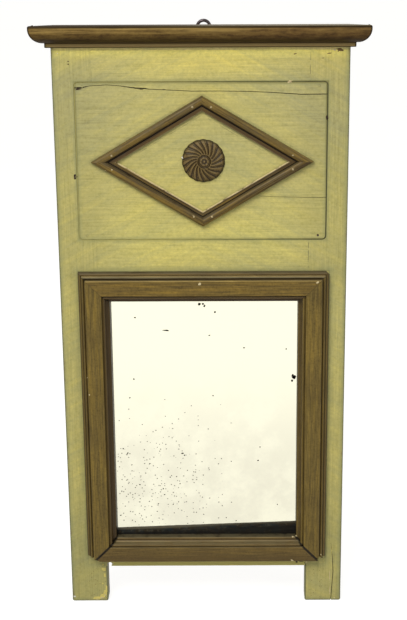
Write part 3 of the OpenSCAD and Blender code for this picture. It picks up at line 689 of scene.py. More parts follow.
def grained(name, warmth, dusty, edge, rims=(0.8, 0.92), seed=0.0, tint=(1, 1, 1), sheen=0.22):
    """Brown graining on a moulding, along its run. edge paints what only the lozenge, the frame or
    the cornice has; rims is how strongly ridges catch the light and hollows hold the dirt."""
    look = settings("mouldings")
    ridge_share, hollow_share = rims

    def draw(sheet):
        level, times = sheet.level, sheet.times
        run, relief = sheet.mark("run", "Vector"), sheet.mark("relief", "Fac")
        place = sheet.place()[0]
        across, high = sheet.axes(run)[1:]
        grain = sheet.grain(run, 42.0, 1.7, 3.0, seed)
        streak = sheet.grain(run, 90.0, 3.4, 8.0, seed + 30)
        skin = Skin(sheet, toned(look.brown, 0.66))
        skin.lay(toned(look.brown, 1.2), level(grain["Fine"], 0.36, 0.66))
        skin.lay(look.ochre, level(streak["Fine"], 0.42, 0.66), warmth,
                 level(sheet.patch(place, 75.0, 0.55, 0.2, seed), 0.0, 1.0, 0.4, 1.0))
        skin.lay(look.umber, grain["Pores"], 0.3)
        speckle = sheet.cloud(place, (0.0032, 0.0032, 0.0032), rough=0.75)
        skin.tint((0.68, 0.66, 0.62), level(speckle, 0.52, 0.3))
        skin.tint((1.3, 1.26, 1.2), level(speckle, 0.52, 0.75))
        # ridges lighter, worn and as painted highlight; hollows darker with dirt
        ridges = sheet.group(rubbed_and_lit_ridges(), Position=run, Relief=relief, Cover=0.75)
        skin.lay(look.ochre, ridges["Ridge"], ridge_share)
        skin.lay(toned(look.umber, 0.45), ridges["Hollow"], hollow_share)
        edge(sheet, look, skin, place, across, high, streak)
        skin.tint(tint, 1.0)
        dust = sheet.dust(place, dusty)
        skin.lay(look.dust, dust)
        skin.lay(settings("iron").cream, sheet.speck(place, 17.0, 0.035, 0.25), 0.6)
        gives = over_grain(skin, grain["Fine"], 0.5, 0.38, 0.3 * MM)
        gives["Roughness"] = sheet.plus(gives["Roughness"], times(dust, 0.3))
        return gives
    return finish(name, draw, Specular_IOR_Level=sheen)


def blend(first, second, much):
    """A colour that lies so much of the way from the first to the second."""
    return [a + (b - a) * much for a, b in zip(first, second)]


def strip_edge(lit, shaded, lip, seed):
    """What a strip of the lozenge has: threads along its run, painted shade at its foot and in its
    quirk, and a cream inner edge that is a painted highlight.
    """
    def paint(sheet, look, skin, place, across, high, streak):
        level, times = sheet.level, sheet.times
        thread = sheet.grain(sheet.mark("run", "Vector"), 120.0, 2.3, 1.0, seed + 7)
        skin.lay(look.umber, level(thread["Fine"], 0.56, 0.38, 0.0, 0.8))
        skin.lay(look.ochre, level(thread["Fine"], 0.56, 0.68, 0.0, 0.6))
        skin.lay(blend(look.umber, look.dust, 0.55),
                 sheet.patch(place, 26.0, 0.45, 0.12, 3.0), 0.45)
        wide = look.strip
        # painted shade along the strip's foot and in its quirk
        foot = times(level(high, 3.0 * MM, 0.6 * MM, 0.0, 0.9),
                     level(across, wide * 0.6, wide * 0.5))
        flank = times(level(across, wide * 0.48, wide * 0.6),
                      level(across, wide * 0.76, wide * 0.7),
                      shaded)
        skin.lay(toned(look.umber, 0.62),
                 sheet.most(sheet.most(foot, flank), level(high, 1.2 * MM, 0.2 * MM)))
        skin.lay(blend(look.umber, look.red, 0.45),
                 level(across, wide * 0.68, wide * 0.74, 0.0, lip))
        # painted highlight: cream where the inner ledge faces up
        skin.lay(settings("iron").cream, level(across, wide - 1.6 * MM, wide - 0.4 * MM, 0.0, lit),
                 sheet.patch(place, 10.0, 0.66, 0.08))
    return paint


def frame_edge(outer_dark, outer_grey, inner_dark, foot_dark=0.0, outer=9.6 * MM, cove_dark=0.0,
               right=1.0, lit=()):
    """What a side of the frame has: dirty outer mouldings with a dust band that is also a painted
    highlight, painted shade along their foot and on the steps and cove by the glass, and dark
    mitres. right is how much of the painted shade on the steps and cove is kept on the right side,
    and lit gives painted highlights along rubbed arrises by their place and strength."""
    def paint(sheet, look, skin, place, across, high, streak):
        level = sheet.level
        umber, brown, red, dust = look.umber, look.brown, look.red, look.dust
        bead, face, whole = look.bead, look.face, FRAME_WHOLE
        x, _, z = sheet.axes(place)
        skin.lay(toned(blend(umber, brown, 0.35), 0.85),
                 level(across, outer, outer + 1 * MM, outer_dark, 0.0))
        # a dust band that is also a painted highlight
        skin.lay(toned(dust, 1.15), level(across, 4.4 * MM, 5.2 * MM),
                 level(across, 8.4 * MM, 7.4 * MM, 0.0, outer_grey))
        # painted shade at the outer foot
        skin.lay(toned(umber, 0.7), level(across, 1.8 * MM, 0.6 * MM, 0.0, 0.85))
        # painted shade on the steps and in the cove by the glass
        kept = level(x, SIGHT_X - 20 * MM, SIGHT_X + 20 * MM, 1.0, right)
        steps = level(across, bead + face - 0.5 * MM, bead + face + 1.5 * MM, 0.0, inner_dark)
        skin.lay(toned(blend(umber, red, 0.4), 0.7), steps, kept)
        cove = level(across, whole - 7.6 * MM, whole - 6.4 * MM, 0.0, cove_dark)
        skin.lay(toned(blend(umber, red, 0.45), 0.72), cove, kept)
        # painted highlights along rubbed arrises
        rubbed = level(streak["Fine"], 0.34, 0.6, 0.35, 1.0)
        for at, much in lit:
            skin.lay(toned(blend(look.ochre, dust, 0.6), 1.9),
                     level(sheet.apart(across, at * MM), 0.9 * MM, 0.4 * MM, 0.0, much), rubbed)
        # the wall beside the plate is near-black paint that also stands for painted shade, and
        # stains
        skin.lay(toned(umber, 0.25), level(across, whole - 1.2 * MM, whole - 0.4 * MM),
                 level(high, 3 * MM, 1 * MM, 0.0, 0.92))
        skin.lay(blend(umber, brown, 0.3), sheet.patch(place, 42.0, 0.45, 0.16, 12.0), 0.32)
        if foot_dark:
            skin.lay(blend(umber, brown, 0.35),
                     level(across, bead + face * 0.7, bead + face * 0.2, 0.0, foot_dark))
        # the mitres: open and black at the foot, a fine line at the top
        inset = sheet.less(FRAME_HALF, sheet.apart(x, SIGHT_X))
        rise, drop = sheet.less(z, SIGHT_LOW - whole), sheet.less(FRAME_TOP, z)
        for way, reach, much in ((rise, 3.4 * MM, 0.97), (drop, 1.3 * MM, 0.25)):
            skin.lay(toned(umber, 0.3),
                     level(sheet.apart(inset, way), reach, reach * 0.5, 0.0, much))
        # painted shade where the moulding comes down to the boards
        skin.lay(toned(umber, 0.4), level(high, 1.2 * MM, 0.2 * MM))
    return paint


def cornice_edge(sheet, look, skin, place, across, high, streak):
    """What the cornice has: a dusty top, and painted light and shade: a dark line at the top arris,
    a round with a painted highlight high up and painted shade towards its foot and its right end,
    and a pale fillet, lifted against its shade, between painted shadow lines.
    """
    level = sheet.level
    x, y, _ = sheet.axes(place)
    umber, red, dust, ochre = look.umber, look.red, look.dust, look.ochre
    band, low, foot = -look.band, -look.band - look.drop, CORNICE_LOW.z - CORNICE_HIGH.z
    cloudy = sheet.cloud(place, (0.022, 0.007, 0.007), 5, 0.75)
    # painted shade: redder and darker towards the right end
    skin.lay(red, level(x, -40 * MM, 120 * MM, 0.35, 0.7))
    skin.lay(blend(umber, red, 0.25), level(cloudy, 0.54, 0.36, 0.0, 0.85))
    skin.lay(toned(blend(ochre, dust, 0.4), 1.1), level(cloudy, 0.52, 0.7, 0.0, 0.4))
    # painted highlight high on the round, strongest at the left
    skin.lay(toned(blend(ochre, dust, 0.45), 1.5), level(high, band - 9 * MM, band - 1 * MM),
             level(streak["Fine"], 0.38, 0.6, 0.1, 0.75), level(x, 110 * MM, -20 * MM, 0.3, 1.0))
    # painted shade towards the round's foot
    skin.lay(toned(umber, 0.5), level(high, band - 6 * MM, low, 0.0, 0.85))
    # the fillet is lightened against its shade, with painted shadow lines along its top and at its
    # foot
    fillet = level(high, low - 0.2 * MM, low - 0.8 * MM)
    skin.lay(toned(blend(look.brown, dust, 0.4), 1.95), fillet)
    skin.lay(toned(umber, 0.4), fillet, level(high, low - 1.7 * MM, low - 0.9 * MM, 0.0, 0.7))
    skin.lay(toned(umber, 0.6), level(high, foot + 1.9 * MM, foot + 0.9 * MM), 0.85)
    # painted shadow: a dark line at the top arris
    skin.lay(toned(umber, 0.4), level(high, -4.4 * MM, -2.4 * MM, 0.0, 0.9))
    # the mitres
    beyond = sheet.less(sheet.plus(across, HALF_WIDTH), sheet.size(x))
    before = sheet.less(sheet.plus(y, across), FRONT)
    ends = sheet.plus(sheet.size(beyond), sheet.size(before))
    skin.lay(toned(umber, 0.4), level(ends, 3.2 * MM, 1 * MM, 0.0, 0.85))
    pale = sheet.mix(level(x, -140 * MM, 130 * MM), toned(umber, 0.7), toned(dust, 0.95))
    skin.lay(pale, level(high, -1.2 * MM, -0.3 * MM))


def carved():
    """Dark stain on the rosette, rubbed on its ridges."""
    look = settings("rosette")

    def draw(sheet):
        level = sheet.level
        relief = sheet.mark("relief", "Fac")
        place, (x, y, z) = sheet.place()
        fine = sheet.grain(sheet.point(z, x, y), 16.0, 0.8, 1.0)["Fine"]
        skin = Skin(sheet, toned(look.wood, 0.7)).lay(look.wood, level(fine, 0.35, 0.68))
        skin.lay(look.hollow, level(relief, 0.05, -0.5, 0.0, 0.8))
        cloud = sheet.patch(place, 12.0, 0.6, 0.15)
        skin.lay(look.ridge, level(relief, 0.1, 0.55), level(cloud, 0.0, 1.0, 0.35, 0.95))
        middle, half = (ROSETTE_LOW + ROSETTE_HIGH) / 2, (ROSETTE_HIGH.x - ROSETTE_LOW.x) / 2
        away = sheet.vector("DISTANCE", sheet.point(x, 0.0, z), (middle.x, 0, middle.z))
        skin.lay(look.hollow, level(away, half * 0.86, half * 0.98, 0.0, 0.7))
        skin.lay(settings("mouldings").dust, sheet.dust(place, 0.25))
        return over_grain(skin, fine, 0.5, 0.36, 0.15 * MM)
    return finish("Rosette stain", draw, Specular_IOR_Level=0.25)


def silvered():
    """The silvered plate: greyer towards its foot with clouding and a painted darker reflection,
    foxed most at its lower left.
    """
    look = settings("glass")

    def draw(sheet):
        level, times = sheet.level, sheet.times
        place, (_, _, z) = sheet.place()
        # painted reflection: greyer towards the foot, with clouding
        low = level(z, GLASS_HIGH.z - 90 * MM, GLASS_LOW.z + 60 * MM)
        cloud = sheet.patch(place, 55.0, 0.55, 0.2, 6.0)
        skin = Skin(sheet, look.silver).lay(look.clouded, low, level(cloud, 0.0, 1.0, 0.25, 0.8))
        corner = sheet.vector("DISTANCE", place, GLASS_LOW + Vector((55 * MM, 0, 62 * MM)))
        thick = level(corner, 170 * MM, 12 * MM, 0.0, 0.9)
        foxed = sheet.most(sheet.speck(place, 5.0, 0.23, thick),
                           times(sheet.speck(place, 19.0, 0.06, 0.3), 0.8))
        skin.lay(look.spot, foxed, 0.72)
        return {"Base Color": skin.colour, "Roughness": sheet.plus(look.smooth, times(foxed, 0.25))}
    return finish("Silvered plate", draw, Metallic=1.0)


def sooty():
    """The stained lath: near black, with blue and brown mottling."""
    look = settings("boards")

    def draw(sheet):
        level = sheet.level
        place, (x, y, z) = sheet.place()
        fine = sheet.grain(sheet.point(x, z, y), 24.0, 1.6, 4.0)["Fine"]
        skin = Skin(sheet, ink(20, 15, 10)).lay(ink(58, 50, 34), level(fine, 0.35, 0.7))
        for tint, patch, much in ((ink(28, 42, 48), (11.0, 0.5), 0.5),
                                  (ink(84, 80, 66), (5.0, 0.32, 0.08, 31.0), 0.5),
                                  (toned(look.wood, 0.5), (6.0, 0.22, 0.05, 9.0), 0.25)):
            skin.lay(tint, sheet.patch(place, *patch), much)
        skin.lay(ink(82, 76, 60), level(z, SIGHT_LOW + 8 * MM, SIGHT_LOW + 13 * MM),
                 level(x, 40 * MM, -60 * MM), 0.5)
        rise = sheet.less(z, level(x, -150 * MM, 150 * MM, LATH_LEFT, LATH_RIGHT))
        skin.lay(ink(104, 98, 82), level(rise, -5 * MM, -1 * MM, 0.0, 0.7))
        skin.lay(ink(20, 18, 14), level(rise, -6 * MM, -10 * MM, 0.0, 0.75))
        return over_grain(skin, fine, 0.75, 0.5, 0.4 * MM)
    return finish("Sooty stain", draw, Specular_IOR_Level=0.15)


def plain_wood(name, tint, pegged=False):
    """Unpainted wood of the parts at the back; a peg's grain runs through the boards."""
    wood = settings("boards").wood

    def draw(sheet):
        place, (x, y, z) = sheet.place()
        grain = sheet.grain(sheet.point(*((y, x, z) if pegged else (x, z, y))), 55.0, 2.2, 14.0)
        skin = Skin(sheet, bare_wood_colour(sheet, grain, toned(wood, *tint)))
        skin.lay(toned(wood, 0.4), sheet.patch(place, 45.0, 0.4, 0.15, 5.0), 0.4)
        skin.lay(toned(wood, 0.3), grain["Pores"], 0.35)
        return over_grain(skin, grain["Fine"], 0.88, 0.7, 0.5 * MM)
    return finish(name, draw)


def forged(name, metal, rust, rough, rusty):
    """Worked iron with rust in its hollows."""
    def draw(sheet):
        place = sheet.place()[0]
        skin = Skin(sheet, metal).lay(rust, sheet.patch(place, 3.5, rusty, 0.14))
        pits = sheet.cloud(place, (0.0011, 0.0011, 0.0011))
        skin.lay(toned(metal, 0.4), sheet.level(pits, 0.5, 0.3, 0.0, 0.5))
        return over_grain(skin, pits, rough + 0.15, rough - 0.1, 0.12 * MM)
    return finish(name, draw, Metallic=0.85)


def fresh(name, tint):
    """Wood or ground laid open by a chip."""
    def draw(sheet):
        x, y, z = sheet.place()[1]
        fine = sheet.grain(sheet.point(x, z, y), 5.0, 0.5, 1.0)["Fine"]
        skin = Skin(sheet, toned(tint, 0.72)).lay(tint, sheet.level(fine, 0.35, 0.65))
        return over_grain(skin, fine, 0.9, 0.75, 0.2 * MM)
    return finish(name, draw)


# Mesh work


def shown(name, data):
    """A new object in the scene."""
    thing = bpy.data.objects.new(name, data)
    bpy.context.scene.collection.objects.link(thing)
    return thing


def make_piece(name, bm, materials, nodes, body=BODY, crease=32, flat=False):
    """Turns a drawn mesh into a piece that rides on a body and stands for its nodes."""
    bmesh.ops.recalc_face_normals(bm, faces=bm.faces)
    if bm.calc_volume(signed=True) < 0:
        bmesh.ops.reverse_faces(bm, faces=bm.faces)
    mesh = bpy.data.meshes.new(name)
    bm.to_mesh(mesh)
    bm.free()
    mesh.polygons.foreach_set("use_smooth", [True] * len(mesh.polygons))
    mesh.set_sharp_from_angle(angle=math.radians(crease))
    if flat:
        mesh.polygons.foreach_set("use_smooth", [max(abs(c) for c in face.normal) < 0.99999
                                                 for face in mesh.polygons])
    for material in materials:
        mesh.materials.append(material)
    piece = shown(name, mesh)
    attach(piece, body)
    if nodes:
        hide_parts(*nodes)
    return piece


def arc(centre, radius, start, end, step=0.6 * MM):
    """Points on an arc from start to end, in degrees."""
    turn = math.radians(end - start)
    count = max(4, int(abs(turn) * radius / step) + 1)
    return [(centre[0] + radius * math.cos(math.radians(start) + turn * i / count),
             centre[1] + radius * math.sin(math.radians(start) + turn * i / count))
            for i in range(count + 1)]


def eased(points, radius):
    """A closed outline whose sharp corners are eased by about radius."""
    out = []
    count = len(points)
    for i, here in enumerate(points):
        here = Vector(here)
        before, after = Vector(points[i - 1]) - here, Vector(points[(i + 1) % count]) - here
        if min(before.length, after.length) < 1e-7:
            continue
        if math.pi - before.angle(after) < math.radians(35):
            out.append(here)
            continue
        reach = min(radius, before.length * 0.45, after.length * 0.45)
        start, end = here + before.normalized() * reach, here + after.normalized() * reach
        out += [start, (start + end) / 4 + here / 2, end]
    return out


def divided(points, step, plain_below=-1.0):
    """A closed outline with no long segment; segments that lie wholly below plain_below stay."""
    out = []
    for i, here in enumerate(points):
        after = points[(i + 1) % len(points)]
        hidden = here[1] < plain_below and after[1] < plain_below
        count = 1 if hidden else max(1, math.ceil((after - here).length / step))
        out += [here.lerp(after, k / count) for k in range(count)]
    return out


def relief_of(points, reach=2.6 * MM):
    """How far each point of a closed outline stands out from its neighbours, in millimetres."""
    area = sum(a[0] * b[1] - b[0] * a[1] for a, b in zip(points, points[1:] + points[:1]))
    side = 1 if area > 0 else -1
    count = len(points)
    out = []
    for i, here in enumerate(points):
        ways = {-1: [], 1: []}
        for way, met in ways.items():
            walked, k = 0, i
            while walked < reach:
                after = points[(k + way) % count]
                walked += (after - points[k]).length
                k = (k + way) % count
                met.append(after)
        behind, ahead = (sum(met, Vector((0, 0))) / len(met) for met in ways.values())
        direction = (ahead - behind).normalized()
        normal = Vector((direction.y, -direction.x)) * side
        out.append((here - (ahead + behind) / 2).dot(normal) / MM)
    return out


def skinned(bm, rings):
    """Joins each ring of points to the next and closes both ends."""
    for low, high in zip(rings, rings[1:]):
        for k in range(len(low)):
            bm.faces.new((low[k - 1], low[k], high[k], high[k - 1]))
    bm.faces.new(rings[0])
    bm.faces.new(rings[-1])


def stick(section, start, end, place, seed, spacing=6 * MM):
    """A length of moulding drawn from its section. start and end give how far along its run it
    begins and ends at each width; place turns a run, a width and a height into a point."""
    look = settings("mouldings")
    wave, rub = look.wave, look.rub
    bm = bmesh.new()
    run_layer = bm.verts.layers.float_vector.new("run")
    relief_layer = bm.verts.layers.float.new("relief")
    relief = relief_of(section)
    stations = max(4, math.ceil((end(0) - start(0)) / spacing))
    rings = []
    for i in range(stations + 1):
        ring = []
        for (w, h), stands in zip(section, relief):
            s = start(w) + (end(w) - start(w)) * i / stations
            out = h
            # a slow wander and a fine ripple, and dents where a ridge stands out
            if h > 0.1 * MM:
                out += wave * noise.noise(Vector((s * 11, w * 25, seed)))
                out += wave * 0.5 * noise.noise(Vector((s * 70, w * 60, seed + 5)))
                if stands > 0.25:
                    dent = max(0, noise.noise(Vector((s * 48, w * 90, seed + 9))) - 0.05)
                    out -= rub * min(1.2, stands) * dent * 2
            vert = bm.verts.new(place(s, w, out))
            vert[run_layer] = (s + seed, w, h)
            vert[relief_layer] = stands
            ring.append(vert)
        rings.append(ring)
    skinned(bm, rings)
    return bm


def sliced(bm, point, normal, **how):
    """Cuts a mesh along a plane and gives what lies in the cut."""
    return bmesh.ops.bisect_plane(bm, geom=bm.verts[:] + bm.edges[:] + bm.faces[:], plane_co=point,
                                  plane_no=normal, **how)["geom_cut"]


def cut_away(bm, point, normal, ragged, seed):
    """Cuts off what lies on normal's side of a plane through point, and closes the cut."""
    ends = [f for f in bm.faces if len(f.verts) > 4]
    bmesh.ops.triangulate(bm, faces=ends, ngon_method="EAR_CLIP")
    cut = sliced(bm, point, normal, dist=1e-6, clear_outer=True)
    edges = [e for e in cut if isinstance(e, bmesh.types.BMEdge)]
    bmesh.ops.contextual_create(bm, geom=edges)
    away = Vector(normal).normalized()
    for vert in {v for e in edges for v in e.verts}:
        vert.co -= away * ragged * abs(noise.noise(vert.co * 300 + Vector((seed, 0, 0))))
    bmesh.ops.dissolve_degenerate(bm, dist=WELD, edges=bm.edges)


def frame_section(look):
    """The frame moulding from its outer edge inwards, as widths and heights above the boards."""
    bead, face, step, high = look.bead, look.face, look.step, look.high
    whole, inner = bead + face + step, bead + face
    quarter, quarter_h = bead * 0.36, high * 0.32
    bead_r, bead_h = bead * 0.15, high * 0.66
    edge, small_h, small_r = high * 0.05, high * 0.78, step * 0.14
    cove, lip_h, lip_r = step * 0.3, high * 0.16, step * 0.125
    tongue_in, tongue_back = whole - 32.2 * MM, -10 * MM
    points = [(0, 0)]
    points += arc((quarter, quarter_h), quarter, 180, 90)
    points += [(quarter, high * 0.47), (bead * 0.66 - bead_r, high * 0.47)]
    points += arc((bead * 0.66, bead_h), bead_r, 180, 0, 0.4 * MM)
    points += [(bead * 0.66 + bead_r, high * 0.59), (bead, high * 0.59)]
    points += arc((bead + edge, high - edge), edge, 180, 90, 0.3 * MM)
    points += arc((inner - edge, high - edge), edge, 90, 0, 0.3 * MM)
    points += [(inner, small_h), (inner + step * 0.29 - small_r, small_h)]
    points += arc((inner + step * 0.29, small_h), small_r, 180, 0, 0.4 * MM)
    points += arc((inner + step * 0.43 + cove, lip_h + cove), cove, 180, 270)
    points += arc((whole - lip_r, lip_h - lip_r), lip_r, 90, 0, 0.4 * MM)
    points += [(whole, tongue_back), (tongue_in, tongue_back), (tongue_in, 0)]
    return divided(eased(points, 0.3 * MM), 1.2 * MM, 0.05 * MM)


def strip_section(look):
    """A strip of the lozenge: a half-round bead, a quirk and an inner band."""
    wide, high = look.strip, look.strip_high
    r = wide * 0.63 / 2
    floor, ledge = high * 0.225, high * 0.5
    points = [(0, 0)] + arc((r, high - r), r, 180, 0)
    points += [(2 * r, floor), (wide * 0.7, floor), (wide * 0.7, ledge), (wide * 0.97, ledge),
               (wide * 0.97, floor), (wide, floor), (wide, 0)]
    return divided(eased(points, 0.45 * MM), 1.1 * MM, 0.01 * MM)


def cornice_section(look, out):
    """The cornice as widths out from the boards and heights down from its top."""
    top_r, r = 2.4 * MM, look.ovolo
    fillet_low = CORNICE_LOW.z - CORNICE_HIGH.z
    fillet_r = 1.5 * MM
    points = [(0, 0)] + arc((out - top_r, -top_r), top_r, 90, 0, 0.5 * MM)
    points += [(w, -look.band + h * look.drop / r) for w, h in arc((out - r, 0), r, 0, -90, 1 * MM)]
    points += [(look.fillet, -look.band - look.drop)]
    points += arc((look.fillet - fillet_r, fillet_low + fillet_r), fillet_r, 0, -90, 0.5 * MM)
    points += [(0, fillet_low)]
    return divided(eased(points, 0.35 * MM), 1.5 * MM)


def node_copy(node):
    """A node's mesh as one welded skin."""
    bm = bmesh.new()
    bm.from_mesh(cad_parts[node].data)
    bmesh.ops.remove_doubles(bm, verts=bm.verts, dist=WELD)
    return bm


def board_copy(node, worn, arris, nibble, slices, axis, seed):
    """A board drawn from its node, with its outer arrises eased and dented. worn says which edges,
    by their middle point; slices is how far apart the dents may be, along axis 0 or 2."""
    bm = node_copy(node)
    for layer in list(bm.loops.layers.uv):
        bm.loops.layers.uv.remove(layer)
    bmesh.ops.dissolve_limit(bm, angle_limit=math.radians(0.5), verts=bm.verts, edges=bm.edges)
    mark = bm.verts.layers.float.new("arris")
    eased_face = bm.faces.layers.int.new("eased")
    edges = []
    for edge in bm.edges:
        if len(edge.link_faces) != 2 or edge.calc_face_angle_signed(0) < math.radians(50):
            continue
        if worn((edge.verts[0].co + edge.verts[1].co) / 2):
            edges.append(edge)
    made = bmesh.ops.bevel(bm, geom=edges, offset=arris, offset_type="OFFSET", segments=3,
                           profile=0.5, affect="EDGES", clamp_overlap=True)
    for face in made["faces"]:
        face[eased_face] = 1
    for vert in made["verts"]:
        vert[mark] = 1.0
    reach = [v.co[axis] for v in bm.verts]
    low, high = min(reach), max(reach)
    normal = Vector((axis == 0, 0, axis == 2))
    for i in range(1, int((high - low) / slices)):
        sliced(bm, normal * (low + i * slices), normal, dist=1e-5)
    bm.normal_update()
    for vert in bm.verts:
        if vert[mark] > 0.9 and all(face[eased_face] for face in vert.link_faces):
            dent = max(0, noise.noise(vert.co * 75 + Vector((seed, 0, 0))) - 0.08)
            dent += 0.4 * max(0, noise.noise(vert.co * 260 + Vector((0, seed, 0))) - 0.1)
            vert.co -= vert.normal * nibble * dent * 2.4
    return bm


def tube(path, radii, sides, rough, seed):
    """A rod swept along points, with a radius at each."""
    bm = bmesh.new()
    rings = []
    for i, (here, radius) in enumerate(zip(path, radii)):
        ahead = (path[min(i + 1, len(path) - 1)] - path[max(i - 1, 0)]).normalized()
        side = ahead.orthogonal() if abs(ahead.x) > 0.9 else Vector((1, 0, 0))
        up = ahead.cross(side).normalized()
        side = up.cross(ahead).normalized()
        ring = []
        for k in range(sides):
            angle = math.tau * k / sides
            out = side * math.cos(angle) + up * math.sin(angle)
            uneven = rough * abs(noise.noise((here + out * radius) * 260 + Vector((seed, 0, 0))))
            ring.append(bm.verts.new(here + out * (radius - uneven)))
        rings.append(ring)
    skinned(bm, rings)
    return bm


def merge(target, source):
    """Adds one drawn mesh to another."""
    mesh = bpy.data.meshes.new("loose")
    source.to_mesh(mesh)
    target.from_mesh(mesh)
    bpy.data.meshes.remove(mesh)
    source.free()


def bridged_gap(low, high, gap, corner):
    """The old paint that bridges the gap round the panel, a little below the boards' front."""
    bm = bmesh.new()
    rings = []
    inner, outer = corner - 0.2 * MM, corner + gap + 0.2 * MM
    left, right, foot, top = low.x + corner, high.x - corner, low.z + corner, high.z - corner
    for x, z, start, depth in ((right, foot, -90, 2.2 * MM), (right, top, 0, 2.0 * MM),
                               (left, top, 90, 1.7 * MM), (left, foot, 180, 1.4 * MM)):
        front = FRONT + depth
        for k in range(9):
            angle = math.radians(start + 90 * k / 8)
            out = Vector((math.cos(angle), 0, math.sin(angle)))
            rings.append([bm.verts.new(Vector((x, y, z)) + out * r)
                          for r, y in ((inner, front), (outer, front),
                                       (outer, front + 1 * MM), (inner, front + 1 * MM))])
    for here, there in zip(rings, rings[1:] + rings[:1]):
        for k in range(4):
            bm.faces.new((here[k - 1], here[k], there[k], there[k - 1]))
    return bm


def separate_solids(node):
    """The lowest and highest corners of each separate solid of a node."""
    bm = node_copy(node)
    seen, boxes = set(), []
    for first in bm.verts:
        if first in seen:
            continue
        stack, member = [first], []
        seen.add(first)
        while stack:
            vert = stack.pop()
            member.append(vert.co.copy())
            for edge in vert.link_edges:
                other = edge.other_vert(vert)
                if other not in seen:
                    seen.add(other)
                    stack.append(other)
        boxes.append((Vector([min(p[i] for p in member) for i in range(3)]),
                      Vector([max(p[i] for p in member) for i in range(3)])))
    bm.free()
    return sorted(boxes, key=lambda box: tuple(round(c, 5) for c in box[0]))


def on_faces(point):
    """True on the boards' front and on their back."""
    return near(point.y, FRONT) or near(point.y, BACK)


def outer_edge(point):
    """True on the outline of the boards as a whole, front and back."""
    foot = point.z < 3.4 * MM
    return foot or (on_faces(point) and near(abs(point.x), HALF_WIDTH))


# Operators


class Build:
    """What the operators have in common."""
    bl_options = {"REGISTER", "UNDO"}


class PILLAR_OT_boards(Build, Operator):
    """Draw the stiles and rails with worn arrises, dents and a split"""
    bl_idname = "pillar_mirror.boards"
    bl_label = "Stiles and rails"

    def execute(self, context):
        look = settings("boards")
        upright = painted("Upright distemper", True, 1.0)
        level = painted("Level distemper", False, 1.0)
        for seed, where in enumerate(("left", "right"), 1):
            inner = min(abs(c.x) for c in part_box(where + "_stile"))

            def foot_or_rim(point, inner=inner):
                inside = near(abs(point.x), inner) and point.z < RAILS_LOW
                return outer_edge(point) or (inside and on_faces(point))
            bm = board_copy(where + "_stile", foot_or_rim, look.arris, look.nibble, 9 * MM, 2, seed)
            make_piece("stile_" + where, bm, [upright], [where + "_stile"],
                       flat=True)
        for seed, where in enumerate(("top", "middle", "bottom"), 3):
            def lower_edge(point, where=where):
                foot = near(point.z, RAILS_LOW) and abs(point.x) < 145 * MM
                return where == "bottom" and foot
            bm = board_copy(where + "_rail", lower_edge, look.arris * 0.7, look.nibble,
                            9 * MM, 0, seed)
            make_piece("rail_" + where, bm, [level], [where + "_rail"], flat=True)
        return {"FINISHED"}


class PILLAR_OT_panel(Build, Operator):
    """Draw the upper panel with its cracks and its eased edge"""
    bl_idname = "pillar_mirror.panel"
    bl_label = "Upper panel"

    def execute(self, context):
        look = settings("boards")

        def rim(point):
            corner = 5.2 * MM
            beside = (abs(point.x) > PANEL_HIGH.x - corner and
                      (point.z < PANEL_LOW.z + corner or point.z > PANEL_HIGH.z - corner))
            edge = (near(abs(point.x), PANEL_HIGH.x) or near(point.z, PANEL_LOW.z)
                    or near(point.z, PANEL_HIGH.z) or beside)
            return edge and near(point.y, PANEL_LOW.y)
        bm = board_copy("upper_panel", rim, look.arris * 0.8, look.nibble * 0.8, 10 * MM, 0, 7)
        merge(bm, bridged_gap(PANEL_LOW, PANEL_HIGH, 1.4 * MM, 5 * MM))
        make_piece("panel", bm, [painted("Panel distemper", False, 0.8, False)], ["upper_panel"],
                   flat=True)
        return {"FINISHED"}


class PILLAR_OT_lozenge(Build, Operator):
    """Draw the four mitred strips of the lozenge"""
    bl_idname = "pillar_mirror.lozenge"
    bl_label = "Lozenge"

    def execute(self, context):
        look = settings("mouldings")
        section = strip_section(look)
        a, b = LOZENGE_A, LOZENGE_B
        run = math.hypot(a, b)
        gap = 0.08 * MM
        for side, up, where in ((-1, 1, "upper_left"), (1, 1, "upper_right"),
                                (-1, -1, "lower_left"), (1, -1, "lower_right")):
            def place(s, w, h, side=side, up=up):
                x = a - s * a / run - w * b / run
                z = s * b / run - w * a / run
                return Vector((LOZENGE_X + side * x, PANEL_LOW.y - h, LOZENGE_Z + up * z))
            bm = stick(section, lambda w: w * a / b + gap, lambda w: run - w * b / a - gap, place,
                       2 * side + up, spacing=4 * MM)
            # upper strips get more painted shade in the quirk, lower strips a painted highlight on
            # the inner edge
            edge = strip_edge(0.25, 0.95, 0.7, 3.0) if up > 0 else strip_edge(0.95, 0.6, 0.2, 1.0)
            material = grained("Grained strip " + ("upper" if up > 0 else "lower"), 0.5, 0.3, edge,
                               seed=up + 2.0)
            make_piece("strip_" + where, bm, [material], ["lozenge_" + where])
        return {"FINISHED"}


